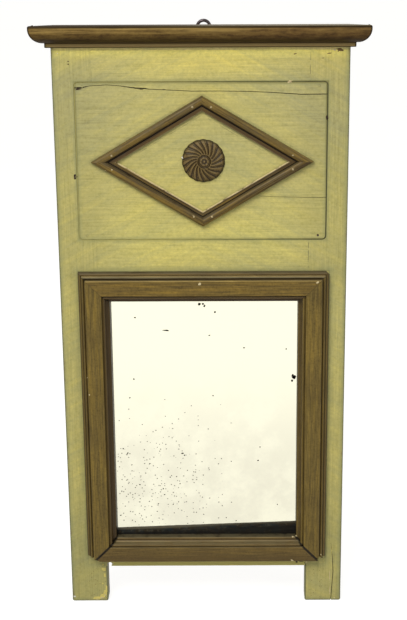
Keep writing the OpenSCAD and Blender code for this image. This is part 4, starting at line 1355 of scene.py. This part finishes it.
class PILLAR_OT_rosette(Build, Operator):
    """Carve the whirl rosette: curved petals, a scalloped rim and a lobed flower"""
    bl_idname = "pillar_mirror.rosette"
    bl_label = "Rosette"

    rings, steps = 84, 360

    def execute(self, context):
        look = settings("rosette")
        centre = (ROSETTE_LOW + ROSETTE_HIGH) / 2
        radius = (ROSETTE_HIGH.x - ROSETTE_LOW.x) / 2 - 0.05 * MM
        high = PANEL_LOW.y - ROSETTE_LOW.y
        bm = bmesh.new()
        relief_layer = bm.verts.layers.float.new("relief")
        heights = [[self.height(look, radius, high, i / self.rings, math.tau * k / self.steps)
                    for k in range(self.steps)] for i in range(self.rings + 1)]
        rows = []
        for i in range(self.rings + 1):
            row = []
            for k in range(self.steps):
                angle = math.tau * k / self.steps
                near_rim = max(0, (i / self.rings - 0.8) / 0.2)
                away = radius * i / self.rings * (1 + (self.rim(angle) - 1) * near_rim)
                if i == 0 and k:
                    row.append(row[0])
                    continue
                vert = bm.verts.new((centre.x + away * math.cos(angle), PANEL_LOW.y - heights[i][k],
                                     centre.z + away * math.sin(angle)))
                others = [heights[min(self.rings, max(0, i + di))][(k + dk) % self.steps]
                          for di in (-3, 0, 3) for dk in (-5, 0, 5)]
                vert[relief_layer] = (heights[i][k] - sum(others) / len(others)) / (0.32 * MM)
                row.append(vert)
            rows.append(row)
        back = [bm.verts.new((vert.co.x, PANEL_LOW.y, vert.co.z)) for vert in rows[-1]]
        rows.append(back)
        for low, above in zip(rows, rows[1:]):
            for k in range(self.steps):
                corners = [low[k - 1], low[k], above[k], above[k - 1]]
                corners = [v for j, v in enumerate(corners) if v is not corners[j - 1]]
                bm.faces.new(corners)
        bm.faces.new(back)
        make_piece("rosette_carving", bm, [carved()], ["rosette"], crease=60)
        return {"FINISHED"}

    def rim(self, angle):
        """The scalloped outline, as a share of the radius."""
        dents = abs(noise.noise(Vector((angle * 3, 0, 0))))
        return 1 - 0.02 * (1 - abs(math.sin(9 * angle))) - 0.008 * dents

    def height(self, look, radius, high, out, angle):
        """How far the carving stands above the panel at a share of the radius and an angle."""
        # the flower sits a little right of and below the middle
        x = out * math.cos(angle) - 0.045
        z = out * math.sin(angle) + 0.02
        bloom = math.hypot(x, z)
        lobe = abs(math.cos(3.5 * math.atan2(z, x)))
        border = 0.255 + 0.018 * lobe
        lip, groove = 0.86, 0.05
        value = high * (0.93 - 0.5 * out ** 3)
        if out > lip:
            value -= high * 0.3 * ((out - lip) / (1 - lip)) ** 2
        if bloom > border + groove:
            turned = angle - look.whirl * (1 - (1 - out) ** 1.6) * 1.2
            across = (turned * look.petals / math.tau) % 1
            crest = math.sin(math.pi * across) ** 0.4
            value -= look.cut * (1 - crest) * min(1, (bloom - border - groove) / 0.1)
            # a fine line and a beaded ridge inside each petal's border
            value -= look.cut * 0.4 * math.exp(-((across - 0.3) / 0.06) ** 2)
            beads = 0.5 + 0.5 * math.cos(out * radius / (1.3 * MM) * math.tau / 2)
            value += look.cut * 0.35 * beads * math.exp(-((across - 0.7) / 0.09) ** 2)
        elif bloom > border:
            value -= look.cut * 0.95 * math.sin(math.pi * (bloom - border) / groove) ** 0.7
        else:
            petal = math.exp(-((bloom - 0.165) / 0.055) ** 2) * (0.35 + 0.65 * lobe)
            eye = math.exp(-(bloom / 0.055) ** 2)
            value -= look.cut * (0.8 - 0.95 * petal - 0.85 * eye)
        value += 0.12 * MM * noise.noise(Vector((x * 14, z * 14, 3)))
        return max(1.2 * MM, min(high - 0.02 * MM, value))


class PILLAR_OT_frame(Build, Operator):
    """Draw the mitred mouldings round the glass, with their worn corners"""
    bl_idname = "pillar_mirror.frame"
    bl_label = "Frame mouldings"

    def execute(self, context):
        look = settings("mouldings")
        section = frame_section(look)
        whole = look.bead + look.face + look.step
        left, right = SIGHT_X - FRAME_HALF, SIGHT_X + FRAME_HALF
        low, top = SIGHT_LOW - whole, FRAME_TOP
        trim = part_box("frame_bottom")[0].z + 0.02 * MM
        tall, wide = top - low, right - left
        close_mitre, open_mitre = 0.05 * MM, 1.1 * MM
        # the top, the uprights and the foot each carry their own painted light and shade
        upright = grained("Grained frame upright", 0.55, 0.35,
                          frame_edge(0.4, 0.0, 0.7, outer=8.2 * MM, cove_dark=0.6, right=0.3),
                          (0.2, 0.35), 1.0, (1.08, 1.13, 1.15))
        across = grained("Grained frame top", 0.75, 0.45,
                         frame_edge(0.6, 0.85, 0.8, cove_dark=0.6, lit=((5.2, 0.8), (11.4, 0.8))),
                         (0.5, 0.85), 5.0, (1.08, 1.08, 1.08))
        foot = grained("Grained frame foot", 0.3, 0.55,
                       frame_edge(0.3, 0.0, 0.25, 0.5, lit=((36.6, 0.8), (39.6, 0.8), (44.2, 0.5))),
                       (0.3, 0.4), 8.0, (1.0, 1.0, 1.2))
        runs = {"left": (tall, lambda s, w: (left + w, low + s), 0, close_mitre, upright),
                "right": (tall, lambda s, w: (right - w, low + s), 0, close_mitre, upright),
                "top": (wide, lambda s, w: (left + s, top - w), close_mitre, close_mitre, across),
                "bottom": (wide, lambda s, w: (left + s, low + w), open_mitre, open_mitre, foot)}
        slope, corner = 0.38, 21 * MM
        for seed, (side, (run, spot, first, last, material)) in enumerate(runs.items()):
            def place(s, w, h, spot=spot):
                x, z = spot(s, w)
                return Vector((x, FRONT - h, z))
            bm = stick(section, lambda w: w + first, lambda w: run - w - last, place, 3.7 * seed)
            if side != "top":
                lifted = 5 * MM if side == "right" else 0
                cut_away(bm, (0, 0, trim + lifted), (0, 0, -1), 0.3 * MM, seed)
            if side in ("bottom", "left"):
                cut_away(bm, (left, 0, trim + slope * corner), (-slope, 0, -1), 0.4 * MM, seed)
            if side in ("top", "right"):
                cut_away(bm, (right - 4.5 * MM, 0, top), (1, 0, 1), 0.3 * MM, seed)
            make_piece("moulding_" + side, bm, [material], ["frame_" + side])
        return {"FINISHED"}


class PILLAR_OT_glass(Build, Operator):
    """Draw the silvered plate with its uneven lower edge, and the foxing spots"""
    bl_idname = "pillar_mirror.glass"
    bl_label = "Mirror plate"

    corners = 11
    # x, z, width and height of the larger spots, in millimetres
    spots = ((-5.5, 479, 6, 5), (-1.5, 480, 5, 4), (1, 476.5, 3, 4), (-55, 439, 10, 2.2),
             (-102, 459, 2.5, 2.5), (17, 467, 3, 2.5), (8, 431, 3.5, 2.2), (60, 411, 3.5, 2.4),
             (123, 409.5, 2, 2.8), (134.5, 366, 6, 9), (132, 360, 4, 5), (-106, 363, 2.4, 2.4),
             (-113, 333, 3, 2), (13, 336, 2.4, 2), (-120, 241, 3, 2), (-125, 251, 2, 2),
             (-35, 243, 5, 2.6), (-31.5, 240, 2, 3), (-85, 226, 3, 1.8), (-54, 204, 2, 2),
             (-44, 205, 2, 1.6), (-101, 192, 2.6, 2), (-39, 193, 2, 2), (-65, 185, 1.8, 2),
             (-129, 181, 2, 2), (-116, 178, 2, 1.5), (-63, 175, 2, 1.8), (-101, 163, 3.6, 1.6),
             (-87, 164, 2, 1.6), (-73, 160, 2, 2), (-50, 158.5, 2, 1.6), (-75, 147, 2, 1.6),
             (-132, 141, 3, 2), (-3, 142, 2, 1.6), (84, 253, 2.4, 2), (81, 231, 2.8, 2.4),
             (6, 216, 1.8, 1.6), (111, 158, 1.6, 2), (32, 136, 2, 1.5), (47, 131, 2, 2),
             (-118, 244, 2, 3), (-30, 309, 1.6, 1.4), (-95, 290, 1.6, 1.6), (40, 292, 1.6, 1.4),
             (-20, 320, 1.6, 1.6), (-60, 330, 1.8, 1.4))

    def execute(self, context):
        look = settings("glass")
        bm = node_copy("mirror_glass")
        bmesh.ops.dissolve_limit(bm, angle_limit=0.01, verts=bm.verts, edges=bm.edges)
        for i in range(1, 60):
            sliced(bm, (GLASS_LOW.x + i * 5.1 * MM, 0, 0), (1, 0, 0))
        for vert in bm.verts:
            if vert.co.z < GLASS_LOW.z + 15 * MM:
                vert.co.z += 0.5 * MM * abs(noise.noise(Vector((vert.co.x * 120, 0, 4))))
        make_piece("plate", bm, [silvered()], ["mirror_glass"])
        draw = random.Random(8)
        spots = bmesh.new()
        front = GLASS_LOW.y - 0.06 * MM
        for x, z, wide, high in self.spots:
            parts = 1 if wide < 3 else 3
            for _ in range(parts):
                px = x + draw.uniform(-0.25, 0.25) * wide * (parts > 1)
                pz = z + draw.uniform(-0.25, 0.25) * high * (parts > 1)
                size = 0.56 if parts == 1 else draw.uniform(0.3, 0.46)
                rim = []
                for k in range(self.corners):
                    angle = math.tau * k / self.corners
                    reach = size * draw.uniform(0.6, 1.1)
                    rim.append(Vector(((px + wide * reach * math.cos(angle)) * MM, front,
                                       (pz + high * reach * math.sin(angle)) * MM)))
                self.flake(spots, rim)
        stain = forged("Foxed silver", look.spot, toned(look.spot, 0.5), 0.6, 0.5)
        make_piece("foxing", spots, [stain], [])
        return {"FINISHED"}

    def flake(self, bm, rim):
        """A thin closed flake on the plate's face."""
        face = bm.faces.new([bm.verts.new(p) for p in rim])
        made = bmesh.ops.extrude_face_region(bm, geom=[face])
        bmesh.ops.translate(bm, vec=(0, 0.1 * MM, 0),
                            verts=[v for v in made["geom"] if isinstance(v, bmesh.types.BMVert)])


class PILLAR_OT_backing(Build, Operator):
    """Draw the stained lath under the plate, the backboard and the pegs"""
    bl_idname = "pillar_mirror.backing"
    bl_label = "Lath, backboard and pegs"

    def execute(self, context):
        look = settings("boards")

        def any_edge(point):
            return True
        bm = board_copy("packing_lath", any_edge, 0.35 * MM, look.nibble, 5 * MM, 0, 12)
        make_piece("lath", bm, [sooty()], ["packing_lath"], flat=True)
        bm = board_copy("backboard", any_edge, 0.6 * MM, look.nibble, 8 * MM, 0, 14)
        wood = plain_wood("Backboard wood", (0.9, 0.86, 0.8))
        make_piece("back_panel", bm, [wood], ["backboard"], flat=True)
        pegs = bmesh.new()
        for low, high in separate_solids("joint_pegs"):
            middle = (low + high) / 2
            r = (high.x - low.x) / 2 - 0.03 * MM
            path = [Vector((middle.x, y, middle.z)) for y in
                    (low.y, low.y + 0.8 * MM, (low.y + high.y) / 2, high.y - 0.5 * MM, high.y)]
            merge(pegs, tube(path, [r * 0.8, r, r, r, r * 0.9], 10, 0.1 * MM, middle.x * 50))
        wood = plain_wood("Peg wood", (0.8, 0.72, 0.62), pegged=True)
        make_piece("pegs", pegs, [wood], ["joint_pegs"], crease=20)
        return {"FINISHED"}


class PILLAR_OT_cornice(Build, Operator):
    """Draw the cornice and its two mitred returns"""
    bl_idname = "pillar_mirror.cornice"
    bl_label = "Cornice"

    def execute(self, context):
        look = settings("mouldings")
        out = FRONT - CORNICE_LOW.y
        section = cornice_section(look, out)
        top = CORNICE_HIGH.z
        wide = 2 * (HALF_WIDTH + out)
        gap = 0.04 * MM
        material = grained("Grained cornice", 0.3, 0.1, cornice_edge, seed=9.0,
                           tint=(1.16, 1.13, 1.2), sheen=0.08)
        bm = stick(section, lambda w: out - w + gap, lambda w: wide - out + w - gap,
                   lambda s, w, h: Vector((s - wide / 2, FRONT - w, top + h)), 21.5, spacing=5 * MM)
        make_piece("cornice_long", bm, [material], ["cornice_front"])
        deep = out + BACK - FRONT
        for side, where in ((-1, "left"), (1, "right")):
            def place(s, w, h, side=side):
                # the returns' tops are planed away a little towards the wall
                sunk = max(0, s) / deep * 2.2 * MM if h > -1 * MM else 0
                return Vector((side * (HALF_WIDTH + w), FRONT - out + s, top + h - sunk))
            bm = stick(section, lambda w: out - w + gap, lambda w: deep, place, 30 + side,
                       spacing=4 * MM)
            make_piece("cornice_end_" + where, bm, [material], ["cornice_" + where])
        return {"FINISHED"}


class PILLAR_OT_nails(Build, Operator):
    """Draw the hand-made nails with uneven heads and tapering round shanks"""
    bl_idname = "pillar_mirror.nails"
    bl_label = "Nails"

    def execute(self, context):
        look = settings("iron")
        dull = forged("Nail iron", look.iron, look.rust, 0.55, 0.55)
        bright = forged("Rubbed nail", look.bright, toned(look.bright, 0.4), 0.35, 0.3)
        covered = painted("Panel distemper", False, 0.8, False)
        for part in ("joint", "panel", "frame", "cornice", "lozenge"):
            worn = part == "lozenge"
            nails = bmesh.new()
            for low, high in separate_solids(part + "_nails"):
                one = self.nail(low, high)
                # the paint has come off the head at the panel's lower right only
                bared = low.x > 0 and low.z < (PANEL_LOW.z + PANEL_HIGH.z) / 2
                if part == "panel" and not bared:
                    for face in one.faces:
                        face.material_index = 1
                merge(nails, one)
            make_piece("nails_" + part, nails, [bright if worn else dull, covered],
                       [part + "_nails"], crease=25)
        sprigs = bmesh.new()
        for low, high in separate_solids("backboard_nails"):
            middle = (low + high) / 2
            size = high - low
            axis = max(range(3), key=lambda i: size[i])
            r = min(size) / 2 - 0.02 * MM
            ends = [middle.copy(), middle.copy()]
            ends[0][axis], ends[1][axis] = low[axis], high[axis]
            if abs(ends[0][axis]) > abs(ends[1][axis]) and axis == 0:
                ends.reverse()
            path = [ends[0].lerp(ends[1], t) for t in (0, 0.04, 0.6, 1)]
            merge(sprigs, tube(path, [r * 0.85, r, r * 0.9, r * 0.5], 8, 0.1 * MM, middle.x * 30))
        make_piece("sprigs", sprigs, [dull], ["backboard_nails"], crease=25)
        return {"FINISHED"}

    def nail(self, low, high):
        """One nail in its box, its head towards the outside."""
        middle, size = (low + high) / 2, high - low
        axis = 1 if size.y > size.x else 0
        head, point = middle.copy(), middle.copy()
        head[axis], point[axis] = low[axis], high[axis]
        if axis == 0 and middle.x > 0:
            head.x, point.x = high.x, low.x
        radius = size.z / 2 - 0.02 * MM
        shank = radius * 0.52
        long = (point - head).length
        steps = [(0, radius * 0.35), (0.12 * MM, radius * 0.75), (0.35 * MM, radius),
                 (0.8 * MM, radius * 0.96), (1.0 * MM, shank), (long * 0.6, shank * 0.95),
                 (long, shank * 0.45)]
        path = [head.lerp(point, at / long) for at, _ in steps]
        return tube(path, [r for _, r in steps], 12, 0.14 * MM, middle.z * 90 + middle.x * 40)


class PILLAR_OT_ring(Build, Operator):
    """Forge the hanging ring and its staple"""
    bl_idname = "pillar_mirror.ring"
    bl_label = "Ring and staple"

    def execute(self, context):
        look = settings("iron")
        iron = forged("Forged iron", look.iron, look.rust, 0.3, 0.14)
        centre = (RING_LOW + RING_HIGH) / 2
        wire = (RING_HIGH.y - RING_LOW.y) / 2
        big = (RING_HIGH.x - RING_LOW.x) / 2 - wire
        bm = self.torus(centre, big, wire, 120, 28)
        make_piece("ring", bm, [iron], ["hanging_ring"], body="ring_body", crease=70)
        r = (STAPLE_HIGH.x - STAPLE_LOW.x) / 2
        x = (STAPLE_LOW.x + STAPLE_HIGH.x) / 2
        top, low = STAPLE_HIGH.z - r, STAPLE_LOW.z + r
        bend, middle = (top - low) / 2, (top + low) / 2
        back = STAPLE_HIGH.y - r - bend
        legs = [STAPLE_LOW.y + t * (back - STAPLE_LOW.y) for t in (0, 0.08, 0.4, 0.7, 0.9)]
        path = [Vector((x, y, top)) for y in legs]
        for turn in range(90, -91, -10):
            turned = math.radians(turn)
            path.append(Vector((x, back + bend * math.cos(turned),
                                middle + bend * math.sin(turned))))
        path += [Vector((x, y, low)) for y in reversed(legs)]
        n = len(path)
        radii = [r * min(1, 0.35 + 6 * min(i, n - 1 - i) / n) for i in range(n)]
        bm = tube(path, radii, 18, 0.16 * MM, 3)
        make_piece("staple", bm, [iron], ["ring_staple"], crease=70)
        return {"FINISHED"}

    def torus(self, centre, big, wire, around, sides):
        """A forged ring: round wire with faint hammer marks."""
        bm = bmesh.new()
        rings = []
        for i in range(around):
            turn = math.tau * i / around
            out = Vector((math.cos(turn), 0, math.sin(turn)))
            ring = []
            for k in range(sides):
                angle = math.tau * k / sides
                way = out * math.cos(angle) + Vector((0, 1, 0)) * math.sin(angle)
                mark = noise.noise(Vector((turn * 3, math.cos(angle) * 1.5, math.sin(angle) * 1.5)))
                ring.append(bm.verts.new(centre + out * big + way * (wire - 0.16 * MM * abs(mark))))
            rings.append(ring)
        for i in range(around):
            for k in range(sides):
                bm.faces.new((rings[i - 1][k - 1], rings[i - 1][k], rings[i][k], rings[i][k - 1]))
        return bm


class PILLAR_OT_chips(Build, Operator):
    """Lay fresh chips where paint, ground or wood has come away"""
    bl_idname = "pillar_mirror.chips"
    bl_label = "Chips"

    corners = 13
    # x, z, width and height in millimetres, and the turn in degrees
    cream = ((125.4, 806.0, 9, 4.6, 10), (-4.7, 516.5, 6, 4, 30), (187.6, 850, 5, 3.2, -10),
             (-173.4, 371.9, 3.2, 1.1, 30), (-170.7, 347, 2, 2.6, 0), (178.2, 83.5, 5, 1.6, -35),
             (156.5, 65.5, 3.6, 3.4, 50), (139.4, 111, 5, 3.4, -12), (134.6, 109.6, 9, 3.2, -6),
             (133.6, 75.8, 7, 3, -30), (183.9, 850.4, 2.4, 2, 0), (-111.7, 589.5, 1.6, 1, 0),
             (167.2, 518.2, 6, 3, 25), (193, 42, 1.3, 24, 0), (193.3, 17, 1.3, 20, 0),
             (200.4, 3.4, 5, 1.6, 8), (-138.1, 681.2, 2.6, 2, 20), (-163.5, 5.6, 8, 4.4, 20),
             (-171, 3.2, 9, 2.2, 3), (-159, 10.5, 3.6, 6, -15), (-160, 54.5, 4.4, 5.4, 20))
    yellow = ((-159.5, 54, 8, 8, 20), (-158.6, 44, 4, 8, 0), (-171, 4.6, 15, 6, 5),
              (-163, 8, 12, 10, 15), (-158.6, 14, 7, 13, -10), (-162, 30, 3, 2.4, 0),
              (-160.5, 62, 4, 3, 0), (-156.4, 22, 3, 12, 0), (-84, 61.4, 8, 1.3, 0),
              (-120, 61.6, 16, 1.0, 0), (40, 61.4, 30, 0.9, 0), (195.4, 85, 1.1, 16, 0))
    chalk = ((-135.4, 123.4, 3.4, 4.4, 20), (-146, 63.4, 5, 1.8, 0), (-206.8, 7.5, 4, 3.6, 0),
             (-28.4, 699.5, 6, 3.8, -60), (-200.6, 846, 1.8, 1, 0))
    # dark flakes: splinters, and painted shade in notches and along the panel's crack
    dark = ((137.6, 69, 5, 4, -20), (141, 65.5, 5, 3, 0), (148, 66.4, 9, 1.2, -4),
            (178.4, 755, 4, 8, 5), (-181.5, 672, 5.5, 11, 0), (-174.5, 797.4, 13, 5, -2),
            (-84.7, 796.0, 9, 1.2, -6), (154.5, 62, 1.2, 9, 20), (180.2, 73.6, 4, 2.4, -20),
            (-52, 795.6, 6, 0.8, -2))
    brown = ((180.5, 845.0, 8, 1.6, 10), (132.3, 844.4, 6, 1.6, 12), (195.6, 850, 12, 4.4, -8),
             (193.5, 848.4, 5, 2, 20), (171.8, 838.5, 3, 1.2, 0))

    def execute(self, context):
        look = settings("iron")
        targets = [BVHTree.FromObject(piece, context.evaluated_depsgraph_get())
                   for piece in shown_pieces()
                   if piece.name not in ("ring", "staple", "foxing", "plate")]
        kinds = (("chips_cream", self.cream, fresh("Fresh wood", look.cream), "bare_wood"),
                 ("chips_white", self.chalk, fresh("Ground coat", look.chalk), "bare_wood"),
                 ("chips_yellow", self.yellow, fresh("Fresh paint", look.yellow), "painted_board"),
                 ("chips_brown", self.brown, fresh("Worn wood", ink(118, 92, 52)), "bare_wood"),
                 ("chips_dark", self.dark, fresh("Old splinter", ink(52, 36, 18)), "bare_wood"))
        for seed, (name, places, material, slot) in enumerate(kinds):
            draw = random.Random(40 + seed)
            bm = bmesh.new()
            for x, z, wide, high, turn in places:
                self.chip(bm, targets, draw, x * MM, z * MM, wide * MM, high * MM,
                          math.radians(turn))
            make_piece(name, bm, [material], [])
        return {"FINISHED"}

    def chip(self, bm, targets, draw, x, z, wide, high, turn):
        """A thin ragged flake laid on whatever is in front at x and z."""
        def surface(px, pz):
            best = None
            for tree in targets:
                hit = tree.ray_cast(Vector((px, -0.2, pz)), Vector((0, 1, 0)))[0]
                if hit is not None and (best is None or hit.y < best):
                    best = hit.y
            return best
        around = [surface(x + dx * wide, z + dz * high)
                  for dx, dz in ((0, 0), (0.25, 0), (-0.25, 0), (0, 0.3), (0, -0.3))]
        around = [y for y in around if y is not None]
        if not around:
            raise RuntimeError(f"no surface under the chip at {x:.4f}, {z:.4f}")
        middle = min(around)
        outer, inner = [], []
        for k in range(self.corners):
            angle = math.tau * k / self.corners
            reach = draw.uniform(0.34, 0.56)
            dx, dz = wide * reach * math.cos(angle), high * reach * math.sin(angle)
            px = x + dx * math.cos(turn) - dz * math.sin(turn)
            pz = z + dx * math.sin(turn) + dz * math.cos(turn)
            y = surface(px, pz)
            if y is None or abs(y - middle) > 2.2 * MM:
                px, pz, y = x + (px - x) * 0.4, z + (pz - z) * 0.4, None
                y = surface(px, pz)
                if y is None or abs(y - middle) > 2.2 * MM:
                    y = middle
            outer.append(bm.verts.new((px, y + 0.35 * MM, pz)))
            ix, iz = x + (px - x) * 0.86, z + (pz - z) * 0.86
            inner.append(bm.verts.new((ix, y - 0.3 * MM, iz)))
        heart = bm.verts.new((x, middle - 0.34 * MM, z))
        sunk = bm.verts.new((x, middle + 0.6 * MM, z))
        for k in range(self.corners):
            bm.faces.new((heart, inner[k - 1], inner[k]))
            bm.faces.new((inner[k - 1], outer[k - 1], outer[k], inner[k]))
            bm.faces.new((sunk, outer[k], outer[k - 1]))


class PILLAR_OT_stage(Build, Operator):
    """Lay the plain floor and set the lights and the camera"""
    bl_idname = "pillar_mirror.stage"
    bl_label = "Floor, lights and camera"

    def execute(self, context):
        look = settings("stage")
        bm = bmesh.new()
        bmesh.ops.create_grid(bm, x_segments=24, y_segments=24, size=60)
        mesh = bpy.data.meshes.new("floor")
        bm.to_mesh(mesh)
        bm.free()

        def draw(sheet):
            cloud = sheet.noise(sheet.place()[0], scale=0.6, detail=2)
            tint = sheet.mix(sheet.level(cloud, 0.3, 0.7), look.floor, toned(look.floor, 0.985))
            # the floor looks pale and throws little light up onto the mouldings
            scattered = sheet.add("LightPath").outputs["Is Diffuse Ray"]
            return {"Base Color": tint, "Roughness": sheet.level(cloud, 0.3, 0.7, 0.9, 0.95),
                    "Emission Color": sheet.mix(scattered, (1, 1, 0.995), (0, 0, 0))}
        mesh.materials.append(finish("Pale floor", draw, Specular_IOR_Level=0.1,
                                     Emission_Strength=look.glow))
        floor = shown("floor", mesh)
        floor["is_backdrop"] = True

        world = bpy.data.worlds.new("Room light")
        world.use_nodes = True
        light = world.node_tree.nodes["Background"].inputs
        light["Color"].default_value = (1, 0.992, 0.965, 1)
        light["Strength"].default_value = look.sky
        context.scene.world = world
        self.light("key", look.key, 1.5, (-0.9, -2.2, 2.9), (0, 0, 0.6), (1, 0.985, 0.95))
        self.light("fill", look.fill, 2.0, (2.3, -2.2, 1.5), (0, 0, 0.5), (0.96, 0.98, 1))
        self.light("back", look.fill, 2.0, (0.8, 2.6, 2.2), (0, 0, 0.5), (1, 1, 1))
        context.scene.view_settings.view_transform = "Standard"

        aside, frame_high = -33, 620
        data = bpy.data.cameras.new("camera")
        data.sensor_width, data.lens = 36, 75.48
        data.shift_x = aside / frame_high
        camera = shown("camera", data)
        pitch, yaw, roll = (math.radians(d) for d in (15.32, -0.03, -0.22))
        eye = (0.0499, -1.8524, 0.9796)
        ahead = Vector((math.sin(yaw) * math.cos(pitch), math.cos(yaw) * math.cos(pitch),
                        -math.sin(pitch)))
        right = Vector((math.cos(yaw), -math.sin(yaw), 0))
        up = right.cross(ahead)
        right, up = (math.cos(roll) * right + math.sin(roll) * up,
                     math.cos(roll) * up - math.sin(roll) * right)
        turn = Matrix((right, up, -ahead)).transposed().to_4x4()
        camera.matrix_world = Matrix.Translation(eye) @ turn
        context.scene.camera = camera
        return {"FINISHED"}

    def light(self, name, power, size, where, at, tint):
        """A large soft light that looks at a point."""
        data = bpy.data.lights.new(name, "AREA")
        data.energy, data.size, data.color = power, size, tint
        lamp = shown(name, data)
        lamp.location = where
        lamp.rotation_euler = (Vector(at) - Vector(where)).to_track_quat("-Z", "Y").to_euler()


STEPS = (PILLAR_OT_boards, PILLAR_OT_panel, PILLAR_OT_lozenge, PILLAR_OT_rosette, PILLAR_OT_frame,
         PILLAR_OT_glass, PILLAR_OT_backing, PILLAR_OT_cornice, PILLAR_OT_nails, PILLAR_OT_ring,
         PILLAR_OT_chips, PILLAR_OT_stage)


class PILLAR_PT_mirror(Panel):
    """The pieces of the mirror and what a user may change"""
    bl_idname = "PILLAR_PT_mirror"
    bl_label = "Pillar mirror"
    bl_space_type = "VIEW_3D"
    bl_region_type = "UI"
    bl_category = "Pillar Mirror"

    def draw(self, context):
        for step in STEPS:
            self.layout.operator(step.bl_idname)
        for part, group in SETTINGS.items():
            box = self.layout.box()
            box.label(text=part.capitalize())
            for name in group.__annotations__:
                box.prop(getattr(context.scene.pillar_mirror, part), name)


CLASSES = (*SETTINGS.values(), PillarMirrorSettings, *STEPS, PILLAR_PT_mirror)


def register():
    for cls in CLASSES:
        bpy.utils.register_class(cls)
    bpy.types.Scene.pillar_mirror = PointerProperty(type=PillarMirrorSettings)


def unregister():
    del bpy.types.Scene.pillar_mirror
    for cls in reversed(CLASSES):
        bpy.utils.unregister_class(cls)


def main():
    register()
    for step in STEPS:
        result = getattr(bpy.ops.pillar_mirror, step.bl_idname.split(".")[1])()
        if result != {"FINISHED"}:
            raise RuntimeError(f"{step.bl_label} wasn't finished")


if __name__ == "__main__":
    main()
